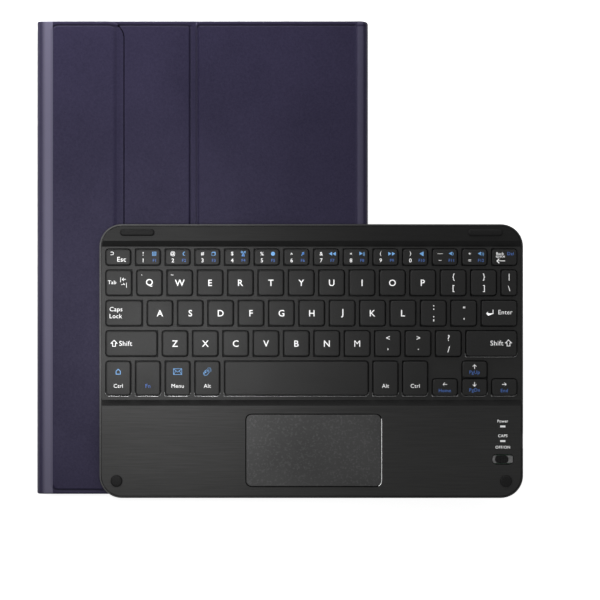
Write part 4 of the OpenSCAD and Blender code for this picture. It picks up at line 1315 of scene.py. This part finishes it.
    def pill(self, x: float, y: float, w: float, l: float, low: float, high: float,
             edge: float) -> list[Ring]:
        """Returns rings of a round-ended block with a rounded top.

        Args:
            x: the centre's x.
            y: the centre's y.
            w: width along x.
            l: length along y.
            low: height of its foot.
            high: height of its top.
            edge: radius of its top edge.

        Returns:
            The rings.
        """
        r, box = min(w, l) / 2 - 0.02, about(x, y, w, l)
        rings = [rounded(box, 0.0, r, low, 8)]
        for degrees in (0, 18, 36, 54, 72, 90):
            a = math.radians(degrees)
            inset = edge * (1 - math.cos(a))
            rings.append(rounded(box, inset, max(r - inset, 0.05),
                                 high - edge * (1 - math.sin(a)), 8))
        return rings

    def build_bumpers(self) -> None:
        """Makes the rubber bumpers with rounded tops."""
        low, high = self.z + self.housing_h - 0.6, self.z + self.housing_h + 1.1
        for name, w, l, places, edge in (
                ("bar_bumpers", 19.4, 3.9, ((-97.4, 72.0), (97.4, 72.0)), 1.05),
                ("round_bumpers", 6.7, 6.7, ((-109.0, -67.1), (109.0, -67.1)), 1.0)):
            form = Form()
            for x, y in places:
                form.loft(self.pill(self.x + x, self.y + y, w, l, low, high, edge))
            piece = form.piece(f"{name}_rubber", [RUBBER], "rubber", 50.0)
            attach(piece, "keyboard")
            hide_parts(name)

    def build_touchpad(self) -> None:
        """Makes the touchpad plate with a fine bright edge."""
        x, y, w, l = self.pad
        box, top = about(self.x + x, self.y + y, w, l), self.z + self.housing_h + 0.25
        form = Form()
        form.loft([rounded(box, inset, self.pad_r - inset, top - drop, 8) for inset, drop in (
            (0.2, 1.3), (0.0, 1.1), (0.0, 0.22), (0.05, 0.09), (0.17, 0.03), (0.32, 0.01),
            (0.7, 0.0))])
        plate = form.piece("touchpad_plate", [TOUCHPAD], "touchpad")
        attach(plate, "touchpad")
        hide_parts("touchpad")

    def build_print(self) -> None:
        """Prints the words beside the lights and the switch."""
        form = Form()
        x, z = self.x + self.switch[0], self.z + self.housing_h
        for text, y in (("Power", -33.6), ("CAPS", -41.8), ("OFF/ON", -48.2)):
            Legend(text, size=2.2, bold=0.015).print_on(form, x, self.y + y, z)
        for face in form.bm.faces:
            face.material_index = 0
        words = form.piece("panel_print", [WHITE_INK], "switch_plastic")
        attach(words, "keyboard")

    def build(self) -> None:
        """Builds the keyboard's shells, keys and small parts."""
        self.build_housing()
        self.build_keys()
        self.build_touchpad()
        self.build_bumpers()
        self.build_print()
        soften(dress("base_shell", RIM), 0.28, 3, merge=True)
        soften(dress("switch_knob", RUBBER), 0.12, merge=True)
        soften(dress("indicator_lenses", LENS), 0.08, merge=True)
        for node, finish in (("dome_sheet", SILICONE), ("contact_sheet", FILM),
                             ("circuit_board", BOARD), ("battery", CELL),
                             ("charge_socket", STEEL), ("touchpad_switch", TRAY),
                             ("switch_body", NICKEL), ("base_screws", STEEL)):
            dress(node, finish)


@dataclass
class Studio:
    """Floor, light and camera."""

    image_x: float = 0.0547
    image_y: float = -0.0238
    image_z: float = 0.026
    frame_w: float = 0.336
    distance: float = 4.0
    sensor: float = 36.0
    floor_white: float = 0.86
    ambient: float = 0.22

    def floor(self) -> None:
        """Lays a pale floor that looks white and keeps the object's shadow."""
        form = Form()
        bmesh.ops.create_grid(form.bm, x_segments=1, y_segments=1, size=12000.0)
        bmesh.ops.translate(form.bm, vec=(0, 0, -0.05), verts=form.bm.verts)
        bmesh.ops.scale(form.bm, vec=(MM, MM, MM), verts=form.bm.verts)
        mesh = bpy.data.meshes.new("floor")
        form.bm.to_mesh(mesh)
        form.bm.free()
        mat = bpy.data.materials.new("floor_white")
        mat.use_nodes = True
        tree = mat.node_tree
        feed(tree, tree.nodes["Principled BSDF"], {
            "Base Color": (*grey(self.floor_white)[0], 1.0), "Roughness": 0.9,
            "Specular IOR Level": 0.0, "Emission Color": (1.0, 1.0, 1.0, 1.0),
            "Emission Strength": self.seen(tree, self.floor_white)})
        mesh.materials.append(mat)
        floor = link(bpy.data.objects.new("floor", mesh))

    def seen(self, tree: Tree, strength: float) -> Socket:
        """Returns strength for camera, glossy and transmission rays and 0 for others.

        Args:
            tree: the tree that gets the nodes.
            strength: the strength.

        Returns:
            The socket that gives it.
        """
        path = add_node(tree, "ShaderNodeLightPath", {}).outputs
        is_seen = path["Is Camera Ray"]
        for ray in ("Is Glossy Ray", "Is Transmission Ray"):
            is_seen = add_node(tree, "ShaderNodeMath", {0: is_seen, 1: path[ray]},
                               operation="MAXIMUM").outputs[0]
        return add_node(tree, "ShaderNodeMath", {0: is_seen, 1: strength},
                        operation="MULTIPLY").outputs[0]

    def world(self) -> None:
        """Sets a plain world: white where it is seen, softer as a light."""
        world = bpy.data.worlds.new("studio")
        world.use_nodes = True
        tree = world.node_tree
        strength = add_node(tree, "ShaderNodeMath", {0: self.seen(tree, 1.0), 1: self.ambient},
                            operation="MAXIMUM")
        feed(tree, tree.nodes["Background"], {
            "Color": (1.0, 1.0, 1.0, 1.0), "Strength": strength.outputs[0]})
        bpy.context.scene.world = world

    def lamp(self, name: str, place: Point, aim: Point, size: tuple[float, float],
             watts: float, spread: float = 180.0) -> None:
        """Adds an oblong soft light, its spread in degrees.

        Args:
            name: its name.
            place: where it stands, in metres.
            aim: the point it faces.
            size: its two sides.
            watts: its power.
            spread: its spread in degrees.
        """
        data = bpy.data.lights.new(name, "AREA")
        data.shape = "RECTANGLE"
        data.size, data.size_y = size
        data.energy = watts
        data.spread = math.radians(spread)
        lamp = link(bpy.data.objects.new(name, data))
        lamp.location = place
        lamp.visible_camera = False
        lamp.rotation_euler = (Vector(place) - Vector(aim)).to_track_quat("Z", "Y").to_euler()

    def build(self) -> None:
        """Sets floor, world, lamps and camera."""
        self.floor()
        self.world()
        self.lamp("key_light", (-0.22, 0.03, 0.20), (-0.06, 0.02, 0.02), (0.12, 0.6), 0.5)
        self.lamp("sweep_light", (-0.035, -0.045, 0.5), (-0.035, -0.045, 0.0), (0.12, 0.10),
                  0.036, 34.0)
        self.lamp("top_light", (-0.10, 0.26, 0.12), (-0.07, 0.12, 0.02), (0.32, 0.06), 0.72)
        self.lamp("fill_light", (0.3, 0.6, 0.55), (0.05, 0.0, 0.02), (0.6, 0.5), 1.25)
        data = bpy.data.cameras.new("camera")
        data.sensor_width = self.sensor
        data.lens = self.sensor * self.distance / self.frame_w
        data.clip_start, data.clip_end = 0.05, 50.0
        camera = link(bpy.data.objects.new("camera", data))
        camera.location = (self.image_x, self.image_y, self.image_z + self.distance)
        scene = bpy.context.scene
        scene.camera = camera
        scene.view_settings.view_transform = "Standard"


def main() -> None:
    """Builds the case and its studio."""
    logging.basicConfig(level=logging.INFO, format="%(message)s")
    for part in (Folio(), Keyboard(), Studio()):
        part.build()
        LOG.info("%s built", type(part).__name__)


if __name__ == "__main__":
    main()
